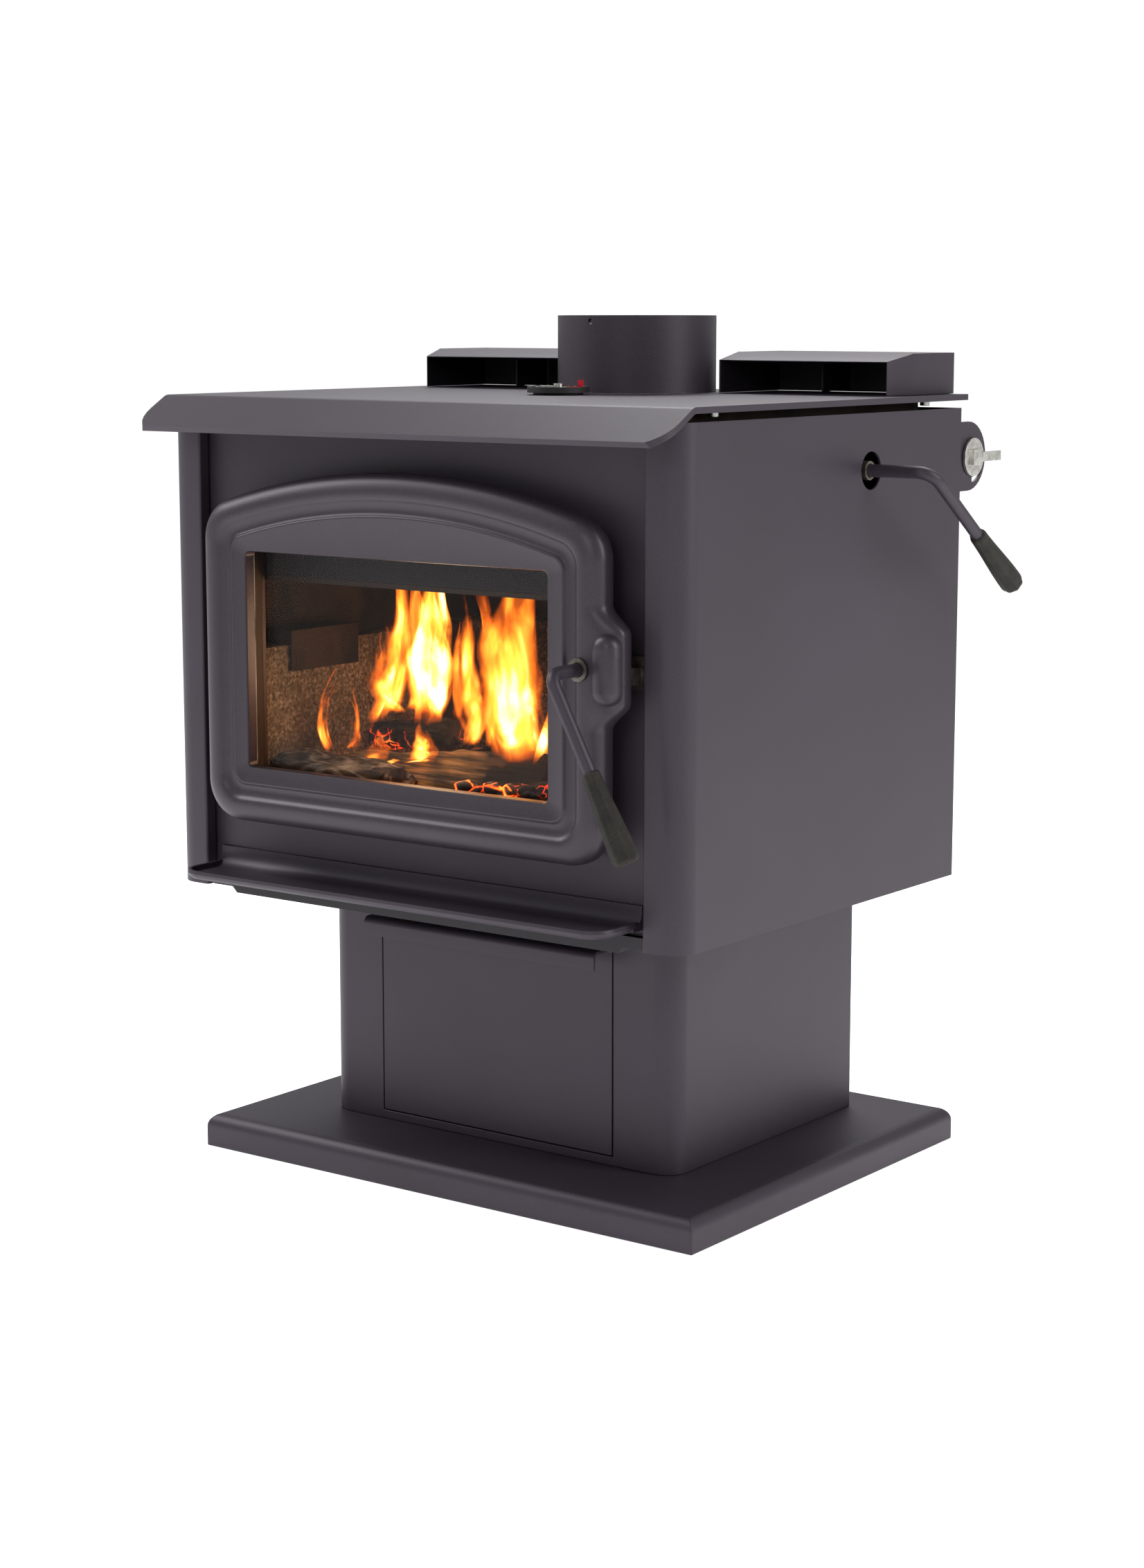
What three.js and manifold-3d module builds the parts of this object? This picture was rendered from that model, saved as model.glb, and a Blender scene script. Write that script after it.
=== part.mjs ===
// A freestanding wood burning stove on a pedestal: a welded steel firebox inside convection shields, a cast door
// with a window, an ash drawer in the pedestal, a gas bypass, an air thermostat and two fan hoods behind the flue.
// Millimetres. The origin is the centre of the base's underside, +Z is up, and the door faces -Y.
import * as THREE from "three";
import { mergeVertices } from "three/addons/utils/BufferGeometryUtils.js";
import Module from "manifold-3d";

const wasm = await Module();
wasm.setup();

// ---- driving dimensions -------------------------------------------------------------------------------------
const GAP = 0.3; // between pieces that touch
const PLAY = 1.5; // round anything that moves

// base
const BASE_W = 630;
const BASE_D = 500;
const BASE_H = 35;
const BASE_SHEET = 3;
const BASE_EDGE_R = 14;
const FLOOR_PLATE_T = 3;
const FLOOR_BOLT_R = 6;
const FLOOR_BOLT_INSET = 45;

// pedestal
const PEDESTAL_W = 448;
const PEDESTAL_FRONT = -150;
const PEDESTAL_BACK = 190;
const PEDESTAL_H = 253;
const PEDESTAL_R = 25;
const PEDESTAL_SHEET = 3;

// ash drawer
const DRAWER_FRONT_W = 298;
const DRAWER_GAP = 1.5;
const DRAWER_SILL = 9;
const DRAWER_HEAD = 28;
const DRAWER_PAN_H = 150;
const DRAWER_SHEET = 2;
const DRAWER_RIM = 8;
const DRAWER_PULL_OUT = 28;
const DRAWER_PULL_DROP = 16;
const SLIDE_H = 12;
const SLIDE_T = 2;

// cabinet: the convection shields round the firebox
const CABINET_W = 642;
const CABINET_D = 508;
const CABINET_FRONT = -280;
const CABINET_H = 492;
const CABINET_R = 25;
const SHIELD_SHEET = 2.5;
const COLUMN_W = 44;
const COLUMN_DEPTH = 13;
const UNDER_SHIELD_DROP = 5;
const UNDER_SHIELD_T = 2;
const APRON_H = 18;
const APRON_STEP = 6;

// firebox
const FIREBOX_PLATE = 5;
const SHIELD_AIR_GAP = 33;
const FIREBOX_LIFT = 10;
const PANEL_RECESS = 16;
const BRICK_T = 32;
const BRICK_BELOW_WINDOW_TOP = 109.7;
const BRICK_JOINT = 2;
const BRICK_FRONT_GAP = 14;
const CLIP_L = 107;
const CLIP_SET_BACK = 62;
const CLIP_RISE = 15;
const CLIP_DROP = 28;
const CLIP_T = 2;
const CLIP_STAND = 4;

// stove top and flue
const TOP_GAP = 8.2;
const TOP_T = 6;
const TOP_OVERHANG = 7;
const TOP_REAR_OVERHANG = 4;
const LIP_REACH = 60;
const LIP_SLOPE = 30;
const LIP_CORNER_R = 34;
const COLLAR_OD = 168;
const COLLAR_WALL = 5;
const COLLAR_H = 79.8;
const COLLAR_SETBACK = 128;
const COLLAR_SCREW_R = 3;
const COLLAR_SCREW_DROP = 6;

// fan hoods
const HOOD_H = 42;
const HOOD_MOUTH_H = 34;
const HOOD_D = 119;
const HOOD_SLOPE_D = 36;
const HOOD_SHEET = 2;
const HOOD_OUTER_INSET = 19;
const HOOD_TAPER = 10;
const HOOD_COLLAR_CLEAR = 12;

// thermometer
const DIAL_R = 32;
const DIAL_T = 8;
const DIAL_AHEAD = 55.4;
const NEEDLE_REST = 36;

// door
const DOOR_SIDE_GAP = 28;
const DOOR_ABOVE_SILL = 78;
const DOOR_BELOW_HEAD = 97;
const DOOR_ARCH = 42;
const DOOR_CORNER_R = 40;
const DOOR_T = 26;
const DOOR_STANDOFF = 23;
const DOOR_EDGE_R = 15;
const DOOR_STILE = 60;
const DOOR_RAIL_LOW = 58;
const DOOR_RAIL_HIGH = 41;
const WINDOW_R = 6;
const MOULDING_INSET = 21;
const MOULDING_W = 22;
const MOULDING_DEPTH = 5;
const FIELD_SET_BACK = 3;
const BOSS_H = 92;
const BOSS_REACH = 23;
const BOSS_BESIDE_LATCH = 29;
const GLASS_T = 5;
const GLASS_LAP = 12;
const GASKET_T = 3;
const SEAL_R = 6;
const HINGE_PIN_R = 5;
const HINGE_KNUCKLE_R = 8;
const HINGE_KNUCKLE_H = 18;
const HINGE_OUT = 8;
const HINGE_BEHIND = 8;

// handles
const ROD_R = 6.35;
const BEND_R = 14;
const LATCH_BESIDE_WINDOW = 39;
const LATCH_OUT = 45;
const LATCH_ARM = 188;
const LATCH_LEAN = 28;
const LATCH_GRIP = [92, 8.8, 13];
const HOOK_REACH = 30;
const HOOK_W = 12;
const BYPASS_AHEAD = 51.5;
const BYPASS_BELOW_TOP = 71;
const BYPASS_OUT = 69;
const BYPASS_ARM = 211;
const BYPASS_LEAN = 54.5;
const BYPASS_GRIP = [98, 8.6, 12.3];
const BYPASS_HOLE_R = 19;
const BYPASS_PLATE_L = 72;
const BYPASS_PLATE_W = 240;

// thermostat
const THERMOSTAT_BEHIND = 28;
const THERMOSTAT_BELOW_TOP = 66;
const THERMOSTAT_R = 20;
const BRACKET_RIM = 16;
const BRACKET_T = 3;
const LEVER_L = 51;
const FLAP_TILT = 22;

// ash lip
const ASH_LIP_INSET = 9;
const ASH_LIP_REACH = 71;
const ASH_LIP_RISE = 17;
const ASH_LIP_T = 4;
const ASH_LIP_BACK_H = 24;
const ASH_LIP_R = 26;

// ash plug in the firebox floor
const PLUG_R = 32;

// ---- places worked out from the sizes above -----------------------------------------------------------------
const pedestalTop = BASE_H + GAP + PEDESTAL_H;
const cabinetHalf = CABINET_W / 2;
const cabinetBack = CABINET_FRONT + CABINET_D;
const underShieldZ = pedestalTop + GAP;
const cabinetBottom = underShieldZ + UNDER_SHIELD_DROP + 1.4;
const cabinetTop = cabinetBottom + CABINET_H;
const topUnder = cabinetTop + TOP_GAP;
const topFace = topUnder + TOP_T;
const columnEdge = cabinetHalf - COLUMN_W;
const panelFace = CABINET_FRONT + PANEL_RECESS;
const panelBack = panelFace + FIREBOX_PLATE;
const boxHalf = cabinetHalf - SHIELD_SHEET - SHIELD_AIR_GAP;
const boxInner = boxHalf - FIREBOX_PLATE;
const boxBack = cabinetBack - 28;
const boxBottom = cabinetBottom + FIREBOX_LIFT;
const boxFloor = boxBottom + FIREBOX_PLATE;
const collarY = cabinetBack - COLLAR_SETBACK;
const collarR = COLLAR_OD / 2;
const doorHalf = columnEdge - DOOR_SIDE_GAP;
const doorBottom = cabinetBottom + DOOR_ABOVE_SILL;
const doorSideTop = cabinetTop - DOOR_BELOW_HEAD;
const doorBack = panelFace - DOOR_STANDOFF;
const doorFace = doorBack - DOOR_T;
const windowHalf = doorHalf - DOOR_STILE;
const windowBottom = doorBottom + DOOR_RAIL_LOW;
const windowTop = doorSideTop - DOOR_RAIL_HIGH;
const brickTop = windowTop - BRICK_BELOW_WINDOW_TOP;
const latchX = windowHalf + LATCH_BESIDE_WINDOW;
const latchZ = (doorBottom + doorSideTop) / 2 + 29;
const hingeX = -doorHalf - HINGE_OUT;
const hingeY = doorBack + HINGE_BEHIND;
const bypassY = collarY - BYPASS_AHEAD;
const bypassZ = topFace - BYPASS_BELOW_TOP;
const thermostatY = cabinetBack + THERMOSTAT_BEHIND;
const thermostatZ = topFace - THERMOSTAT_BELOW_TOP;
const bracketR = THERMOSTAT_R + BRACKET_RIM;

// ---- solids: every helper returns a manifold-3d solid made from a three.js geometry ----------------------------
function solid(geometry) {
  const bare = new THREE.BufferGeometry();
  bare.setAttribute("position", geometry.getAttribute("position"));
  bare.setIndex(geometry.getIndex());
  const merged = mergeVertices(bare, 1e-4);
  return new wasm.Manifold(new wasm.Mesh({
    numProp: 3,
    vertProperties: new Float32Array(merged.attributes.position.array),
    triVerts: new Uint32Array(merged.index.array),
  }));
}

const join = (first, ...rest) => rest.reduce((a, b) => a.add(b), first);
const cut = (first, ...rest) => rest.reduce((a, b) => a.subtract(b), first);

function box(low, high) {
  const size = high.map((v, i) => v - low[i]);
  const geometry = new THREE.BoxGeometry(...size);
  geometry.translate(...low.map((v, i) => v + size[i] / 2));
  return solid(geometry);
}

// An outline is a list of [a, b]: (x, y) when it is extruded along z, (x, z) along y, and (y, z) along x.
const AXES = {
  x: [[0, 1, 0], [0, 0, 1], [1, 0, 0]],
  y: [[1, 0, 0], [0, 0, 1], [0, -1, 0]],
  z: [[1, 0, 0], [0, 1, 0], [0, 0, 1]],
};

function extrude(axis, outline, from, to, holes = []) {
  const shape = new THREE.Shape(outline.map((p) => new THREE.Vector2(...p)));
  shape.holes = holes.map((hole) => new THREE.Path(hole.map((p) => new THREE.Vector2(...p))));
  const geometry = new THREE.ExtrudeGeometry(shape, { depth: to - from, bevelEnabled: false });
  const basis = AXES[axis].map((v) => new THREE.Vector3(...v));
  geometry.applyMatrix4(new THREE.Matrix4().makeBasis(...basis));
  const start = axis === "y" ? to : from;
  geometry.translate(...["x", "y", "z"].map((name) => (name === axis ? start : 0)));
  return solid(geometry);
}

function circle(centre, radius, sides, turn = 0) {
  return Array.from({ length: sides }, (_, i) => {
    const a = turn + (2 * Math.PI * i) / sides;
    return [centre[0] + radius * Math.cos(a), centre[1] + radius * Math.sin(a)];
  });
}

const rod = (axis, centre, radius, from, to, sides = 24) =>
  extrude(axis, circle(centre, radius, sides, Math.PI / sides), from, to);

const tube = (axis, centre, outer, inner, from, to, sides = 24) =>
  extrude(axis, circle(centre, outer, sides, Math.PI / sides), from, to,
    [circle(centre, inner, sides, Math.PI / sides)]);

// Rounds the corners of a polyline: each corner is [a, b, radius], and the first and last stay sharp when it is open.
function rounded(corners, closed = true, steps = 6) {
  const points = [];
  corners.forEach(([a, b, radius = 0], i) => {
    const here = new THREE.Vector2(a, b);
    const end = !closed && (i === 0 || i === corners.length - 1);
    if (radius <= 0 || end) {
      points.push([a, b]);
      return;
    }
    const before = new THREE.Vector2(...corners.at(i - 1)).sub(here);
    const after = new THREE.Vector2(...corners[(i + 1) % corners.length]).sub(here);
    const inside = Math.acos(before.clone().normalize().dot(after.clone().normalize()));
    const reach = radius / Math.tan(inside / 2);
    const start = here.clone().addScaledVector(before.normalize(), reach);
    const stop = here.clone().addScaledVector(after.normalize(), reach);
    const middle = before.add(after).normalize().multiplyScalar(radius / Math.sin(inside / 2)).add(here);
    const from = Math.atan2(start.y - middle.y, start.x - middle.x);
    const to = Math.atan2(stop.y - middle.y, stop.x - middle.x);
    const sweep = Math.atan2(Math.sin(to - from), Math.cos(to - from));
    for (let k = 0; k <= steps; k++) {
      const angle = from + (sweep * k) / steps;
      points.push([middle.x + radius * Math.cos(angle), middle.y + radius * Math.sin(angle)]);
    }
  });
  return points;
}

const rectangle = (a0, b0, a1, b1, r = 0, steps = 4) =>
  rounded([[a0, b0, r], [a1, b0, r], [a1, b1, r], [a0, b1, r]], true, steps);

// A bent sheet: the outline of a polyline with rounded corners and its copy, thickness to the left of it.
function folded(corners, thickness, steps = 6) {
  const inner = corners.map((corner, i) => {
    const here = new THREE.Vector2(...corner);
    const sides = [[i - 1, i], [i, i + 1]].filter(([m, n]) => m >= 0 && n < corners.length);
    const normals = sides.map(([m, n]) => {
      const along = new THREE.Vector2(...corners[n]).sub(new THREE.Vector2(...corners[m])).normalize();
      return new THREE.Vector2(-along.y, along.x);
    });
    const mean = normals.reduce((a, b) => a.clone().add(b)).normalize();
    here.addScaledVector(mean, thickness / mean.dot(normals[0]));
    let radius = 0;
    if (normals.length === 2 && corner[2]) {
      const turn = normals[0].cross(normals[1]);
      radius = Math.max(0.2, corner[2] - Math.sign(turn) * thickness);
    }
    return [here.x, here.y, radius];
  });
  return [...rounded(corners, false, steps), ...rounded(inner, false, steps).reverse()];
}

// Closes rings of points into one body: walls between neighbouring rings, and the outline's triangles as end caps.
function skinned(positions, count, outline) {
  const rings = positions.length / 3 / count;
  const faces = [];
  for (let r = 0; r + 1 < rings; r++) {
    for (let i = 0; i < count; i++) {
      const [a, b] = [r * count + i, r * count + ((i + 1) % count)];
      faces.push([a, b, b + count], [a, b + count, a + count]);
    }
  }
  const cap = THREE.ShapeUtils.triangulateShape(outline.map((p) => new THREE.Vector2(...p)), []);
  const last = (rings - 1) * count;
  for (const [a, b, c] of cap) faces.push([a, c, b], [a + last, b + last, c + last]);
  const close = (list) => {
    const geometry = new THREE.BufferGeometry();
    geometry.setAttribute("position", new THREE.Float32BufferAttribute(positions, 3));
    geometry.setIndex(list.flat());
    return solid(geometry);
  };
  const made = close(faces);
  return made.volume() > 0 ? made : close(faces.map(([a, b, c]) => [a, c, b]));
}

// A body through a stack of closed outlines with the same number of points: [{ at, outline }], along an axis.
function loft(axis, rings) {
  const place = {
    y: (p, at) => [p[0], at, p[1]],
    z: (p, at) => [p[0], p[1], at],
  }[axis];
  const positions = rings.flatMap(({ at, outline }) => outline.flatMap((p) => place(p, at)));
  return skinned(positions, rings[0].outline.length, rings.at(-1).outline);
}

// A round bar bent once at a corner: rings of points along it, all turned about the bend's own normal.
function bentRod(start, corner, end, radius, bend, sides = 20, steps = 8) {
  const [a, b, c] = [start, corner, end].map((p) => new THREE.Vector3(...p));
  const inward = a.clone().sub(b).normalize();
  const onward = c.clone().sub(b).normalize();
  const half = inward.angleTo(onward) / 2;
  const normal = inward.clone().cross(onward).normalize();
  const centre = b.clone().addScaledVector(inward.clone().add(onward).normalize(), bend / Math.sin(half));
  const first = b.clone().addScaledVector(inward, bend / Math.tan(half)).sub(centre);
  const stations = [[a, inward.clone().negate()]];
  for (let i = 0; i <= steps; i++) {
    const turn = -(Math.PI - 2 * half) * (i / steps);
    const spoke = first.clone().applyAxisAngle(normal, turn);
    stations.push([spoke.add(centre), inward.clone().negate().applyAxisAngle(normal, turn)]);
  }
  stations.push([c, onward]);
  const positions = [];
  for (const [point, tangent] of stations) {
    const across = tangent.clone().cross(normal);
    for (const [u, v] of circle([0, 0], radius, sides)) {
      const p = point.clone().addScaledVector(normal, u).addScaledVector(across, v);
      positions.push(p.x, p.y, p.z);
    }
  }
  return skinned(positions, sides, circle([0, 0], radius, sides));
}

// A tapered grip with a blind bore for its rod, made along +z and turned to lie from one point towards another.
function grip([length, thin, fat], from, towards, rodEnd) {
  const bore = ROD_R + GAP;
  const depth = rodEnd + 1;
  const profile = [
    [bore, 0], [thin - 1, 0], [thin, 1], [fat, length - 4], [fat - 1, length - 1.2], [fat - 4, length],
    [0, length], [0, depth], [bore, depth], [bore, 0],
  ].map((v) => new THREE.Vector2(...v));
  const geometry = new THREE.LatheGeometry(profile, 24);
  geometry.rotateX(Math.PI / 2); // the lathe's own axis is y
  const direction = new THREE.Vector3(...towards).sub(new THREE.Vector3(...from)).normalize();
  geometry.applyQuaternion(new THREE.Quaternion().setFromUnitVectors(new THREE.Vector3(0, 0, 1), direction));
  geometry.translate(...from);
  return solid(geometry);
}

const mirrored = (made) => {
  const { vertProperties, triVerts } = made.getMesh();
  const positions = Float32Array.from(vertProperties, (v, i) => (i % 3 === 0 ? -v : v));
  const faces = Uint32Array.from(triVerts);
  for (let i = 0; i < faces.length; i += 3) [faces[i + 1], faces[i + 2]] = [faces[i + 2], faces[i + 1]];
  return new wasm.Manifold(new wasm.Mesh({ numProp: 3, vertProperties: positions, triVerts: faces }));
};

// ---- finishes --------------------------------------------------------------------------------------------------
const FINISH = {
  stovePaint: { color: "#4a454b", roughness: 0.62, metalness: 0.35 },
  castPaint: { color: "#4b474e", roughness: 0.5, metalness: 0.4 },
  blackPaint: { color: "#121114", roughness: 0.85, metalness: 0.1 },
  bareSteel: { color: "#57504b", roughness: 0.6, metalness: 0.8 },
  burntSteel: { color: "#332b27", roughness: 0.85, metalness: 0.4 },
  galvanised: { color: "#8b8d8f", roughness: 0.45, metalness: 0.9 },
  brightSteel: { color: "#c9c9c6", roughness: 0.25, metalness: 1.0 },
  firebrick: { color: "#a98f68", roughness: 0.95, metalness: 0.0 },
  honeycomb: { color: "#6d6459", roughness: 0.9, metalness: 0.1 },
  glass: { color: "#1a1512", roughness: 0.05, metalness: 0.0, transparent: true, opacity: 0.25 },
  rope: { color: "#b9b4a8", roughness: 1.0, metalness: 0.0 },
  grip: { color: "#2b2b24", roughness: 0.9, metalness: 0.0 },
  needle: { color: "#b3122a", roughness: 0.5, metalness: 0.0 },
};

const stove = new THREE.Group();

function part(name, made, finish) {
  const { vertProperties, triVerts, numProp } = made.getMesh();
  const positions = new Float32Array((vertProperties.length / numProp) * 3);
  for (let i = 0; i < positions.length / 3; i++) {
    for (let k = 0; k < 3; k++) positions[3 * i + k] = vertProperties[numProp * i + k];
  }
  const geometry = new THREE.BufferGeometry();
  geometry.setAttribute("position", new THREE.BufferAttribute(positions, 3));
  geometry.setIndex(new THREE.BufferAttribute(Uint32Array.from(triVerts), 1));
  geometry.computeVertexNormals();
  const mesh = new THREE.Mesh(geometry, new THREE.MeshStandardMaterial(FINISH[finish]));
  mesh.name = name;
  stove.add(mesh);
}

// ---- base ------------------------------------------------------------------------------------------------------
// A shallow tray turned upside down, its top edge rounded and its corners mitred.
function trayRings(halfW, halfD, top, edge) {
  const outline = (inset) => rectangle(-halfW + inset, -halfD + inset, halfW - inset, halfD - inset);
  const rings = [{ at: 0, outline: outline(0) }];
  const steps = 6;
  for (let i = 0; i <= steps; i++) {
    const a = (Math.PI / 2) * (i / steps);
    rings.push({ at: top - edge + edge * Math.sin(a), outline: outline(edge * (1 - Math.cos(a))) });
  }
  return rings;
}

function base() {
  const outer = loft("z", trayRings(BASE_W / 2, BASE_D / 2, BASE_H, BASE_EDGE_R));
  const inner = loft("z", trayRings(
    BASE_W / 2 - BASE_SHEET, BASE_D / 2 - BASE_SHEET, BASE_H - BASE_SHEET, BASE_EDGE_R - BASE_SHEET,
  ).map((ring, i) => (i ? ring : { ...ring, at: -1 })));
  part("base_cover", cut(outer, inner), "stovePaint");

  const halfW = BASE_W / 2 - BASE_SHEET - GAP;
  const halfD = BASE_D / 2 - BASE_SHEET - GAP;
  const bolts = [-1, 1].flatMap((sx) => [-1, 1].map((sy) =>
    circle([sx * (halfW - FLOOR_BOLT_INSET), sy * (halfD - FLOOR_BOLT_INSET)], FLOOR_BOLT_R, 16)));
  const plate = extrude("z", rectangle(-halfW, -halfD, halfW, halfD), 0, FLOOR_PLATE_T, bolts);
  // two ribs carry the tray under the pedestal's side walls
  const ribs = [-1, 1].map((side) => {
    const x = side * (PEDESTAL_W / 2 - 12);
    const top = BASE_H - BASE_SHEET - GAP;
    return box([x - 2, PEDESTAL_FRONT, FLOOR_PLATE_T - 1], [x + 2, PEDESTAL_BACK, top]);
  });
  part("base_floor_plate", join(plate, ...ribs), "blackPaint");
}

// ---- pedestal ----------------------------------------------------------------------------------------------------
const pedestalFoot = BASE_H + GAP;
const drawerOpening = {
  half: DRAWER_FRONT_W / 2 + DRAWER_GAP,
  low: pedestalFoot + DRAWER_SILL,
  high: pedestalTop - DRAWER_HEAD + DRAWER_GAP,
};

function pedestal() {
  const half = PEDESTAL_W / 2;
  const wrap = folded([
    [half - 20, PEDESTAL_BACK], [half, PEDESTAL_BACK, 5], [half, PEDESTAL_FRONT, PEDESTAL_R],
    [-half, PEDESTAL_FRONT, PEDESTAL_R], [-half, PEDESTAL_BACK, 5], [-half + 20, PEDESTAL_BACK],
  ].reverse(), PEDESTAL_SHEET);
  const { half: open, low, high } = drawerOpening;
  const mouth = box([-open, PEDESTAL_FRONT - 1, low], [open, PEDESTAL_FRONT + PEDESTAL_SHEET + 1, high]);
  part("pedestal_shell", cut(extrude("z", wrap, pedestalFoot, pedestalTop), mouth), "stovePaint");

  const inside = half - PEDESTAL_SHEET - GAP;
  const rear = PEDESTAL_BACK - PEDESTAL_SHEET - GAP;
  const pan = folded([
    [-inside, rear - 18], [-inside, rear, 3], [inside, rear, 3], [inside, rear - 18],
  ].reverse(), PEDESTAL_SHEET - 0.5, 3);
  part("pedestal_back_panel", extrude("z", pan, pedestalFoot, pedestalTop), "stovePaint");

  // angle rails that carry the drawer's turned-out rims
  const shelfX = drawerHalf() + PLAY;
  const railX = drawerHalf() + DRAWER_RIM + PLAY;
  const railZ = drawerRimZ() - DRAWER_SHEET - GAP;
  for (const side of [-1, 1]) {
    const x = (v) => side * v;
    const section = [
      [x(shelfX), railZ - SLIDE_T], [x(shelfX), railZ], [x(railX), railZ], [x(railX), railZ + SLIDE_H],
      [x(inside), railZ + SLIDE_H], [x(inside), railZ + SLIDE_H - SLIDE_T],
      [x(railX + SLIDE_T), railZ + SLIDE_H - SLIDE_T], [x(railX + SLIDE_T), railZ - SLIDE_T],
    ];
    const name = side < 0 ? "drawer_rail_left" : "drawer_rail_right";
    const ends = [PEDESTAL_FRONT + PEDESTAL_R, rear - 20];
    part(name, extrude("y", side < 0 ? section.reverse() : section, ...ends), "galvanised");
  }
}

// ---- ash drawer: a sheet-metal pan with turned-out rims, and its painted front ------------------------------------
function drawerHalf() {
  return DRAWER_FRONT_W / 2 - 8;
}

function drawerRimZ() {
  return drawerOpening.low + 3 + DRAWER_PAN_H;
}

function ashDrawer() {
  const half = drawerHalf();
  const low = drawerOpening.low + 3;
  const high = drawerRimZ();
  const front = PEDESTAL_FRONT + PEDESTAL_SHEET + GAP;
  const back = PEDESTAL_BACK - PEDESTAL_SHEET - 24;
  const skin = DRAWER_SHEET;
  const brim = half + DRAWER_RIM;
  const pan = cut(
    join(
      box([-half, front, low], [half, back, high]),
      box([-brim, front + PEDESTAL_R, high - skin], [brim, back, high]),
    ),
    box([-half + skin, front + skin, low + skin], [half - skin, back - skin, high + 1]),
  );
  part("ash_drawer_pan", pan, "galvanised");

  const faceHalf = DRAWER_FRONT_W / 2;
  const bottom = drawerOpening.low + DRAWER_GAP;
  const top = pedestalTop - DRAWER_HEAD - PEDESTAL_SHEET;
  const out = PEDESTAL_FRONT - DRAWER_PULL_OUT;
  const section = folded([
    [PEDESTAL_FRONT, bottom], [PEDESTAL_FRONT, top, 3], [out, top, 4], [out, top - DRAWER_PULL_DROP],
  ].reverse(), PEDESTAL_SHEET, 4);
  const bent = extrude("x", section, -faceHalf, faceHalf);
  // the lip's lower corners are rounded off
  const corner = (side) => {
    const r = 9;
    const edge = side * faceHalf;
    const z = top - DRAWER_PULL_DROP;
    const outline = [[edge + side, z - 1], [edge + side, z + r]];
    for (let i = 0; i <= 5; i++) {
      const a = (Math.PI / 2) * (i / 5);
      outline.push([edge - side * r * (1 - Math.cos(a)), z + r * (1 - Math.sin(a))]);
    }
    outline.push([edge - side * r, z - 1]);
    return extrude("y", side < 0 ? outline : outline.reverse(), out - 1, out + PEDESTAL_SHEET + 0.5);
  };
  part("ash_drawer_front", cut(bent, corner(-1), corner(1)), "stovePaint");
}

// ---- cabinet shields -----------------------------------------------------------------------------------------------
function sideShield(side) {
  const wrap = folded([
    [cabinetHalf, cabinetBack], [cabinetHalf, CABINET_FRONT, CABINET_R],
    [columnEdge, CABINET_FRONT, 2.7], [columnEdge, CABINET_FRONT + COLUMN_DEPTH],
  ].reverse(), SHIELD_SHEET);
  let made = extrude("z", wrap, cabinetBottom, cabinetTop);
  if (side > 0) {
    const from = cabinetHalf - SHIELD_SHEET - 1;
    made = cut(made, rod("x", [bypassY, bypassZ], BYPASS_HOLE_R, from, cabinetHalf + 1, 36));
  } else {
    made = mirrored(made);
  }
  part(side < 0 ? "side_shield_left" : "side_shield_right", made, "stovePaint");
}

function cabinet() {
  sideShield(-1);
  sideShield(1);

  // rear shield: a shallow pan between the side shields, with rows of air slots
  const half = cabinetHalf - SHIELD_SHEET - GAP;
  const y = cabinetBack;
  const pan = extrude("z", folded([
    [-half, y - 22], [-half, y, 3], [half, y, 3], [half, y - 22],
  ].reverse(), SHIELD_SHEET - 0.5, 3), cabinetBottom, cabinetTop);
  const rows = 5;
  const columns = 4;
  const slotLength = (half * 2) / columns - 40;
  const slots = [];
  for (let r = 0; r < rows; r++) {
    for (let c = 0; c < columns; c++) {
      const x = (c - (columns - 1) / 2) * (slotLength + 26);
      const z = cabinetBottom + 60 + r * 22;
      slots.push(box([x - slotLength / 2, y - 3, z], [x + slotLength / 2, y + 1, z + 8]));
    }
  }
  const shaftHole = airPortHole();
  part("rear_shield", cut(pan, ...slots, shaftHole), "stovePaint");

  // under shield: closes the cabinet's floor above the pedestal, with a stepped apron under the ash lip
  const low = underShieldZ;
  const front = CABINET_FRONT + 8;
  const inner = columnEdge - 1;
  const step = inner - 32;
  const flange = extrude("y", [
    [-inner, low + APRON_STEP], [-step - APRON_STEP, low + APRON_STEP], [-step, low], [step, low],
    [step + APRON_STEP, low + APRON_STEP], [inner, low + APRON_STEP], [inner, low + APRON_H],
    [-inner, low + APRON_H],
  ], front, front + UNDER_SHIELD_T);
  const rear = cabinetBack - 80;
  const shelf = box([-step, front + 1, low], [step, rear, low + UNDER_SHIELD_T]);
  const wingHalf = cabinetHalf - SHIELD_SHEET - 8;
  const wing = box([-wingHalf, panelFace + 6, low + APRON_STEP], [wingHalf, rear - 12, low + APRON_STEP + 2]);
  const webs = [-1, 1].map((side) => {
    const x = side * (step - 1);
    return box([x - 1, front + 1, low + 0.5], [x + 1, rear, low + APRON_STEP + 1]);
  });
  const ashHole = rod("z", [0, plugY()], PLUG_R + 8, low - 1, low + APRON_STEP + 3, 24);
  part("under_shield", cut(join(flange, shelf, wing, ...webs), ashHole), "stovePaint");
}

// ---- firebox ---------------------------------------------------------------------------------------------------------
function plugY() {
  return (PEDESTAL_FRONT + PEDESTAL_BACK) / 2;
}

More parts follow.
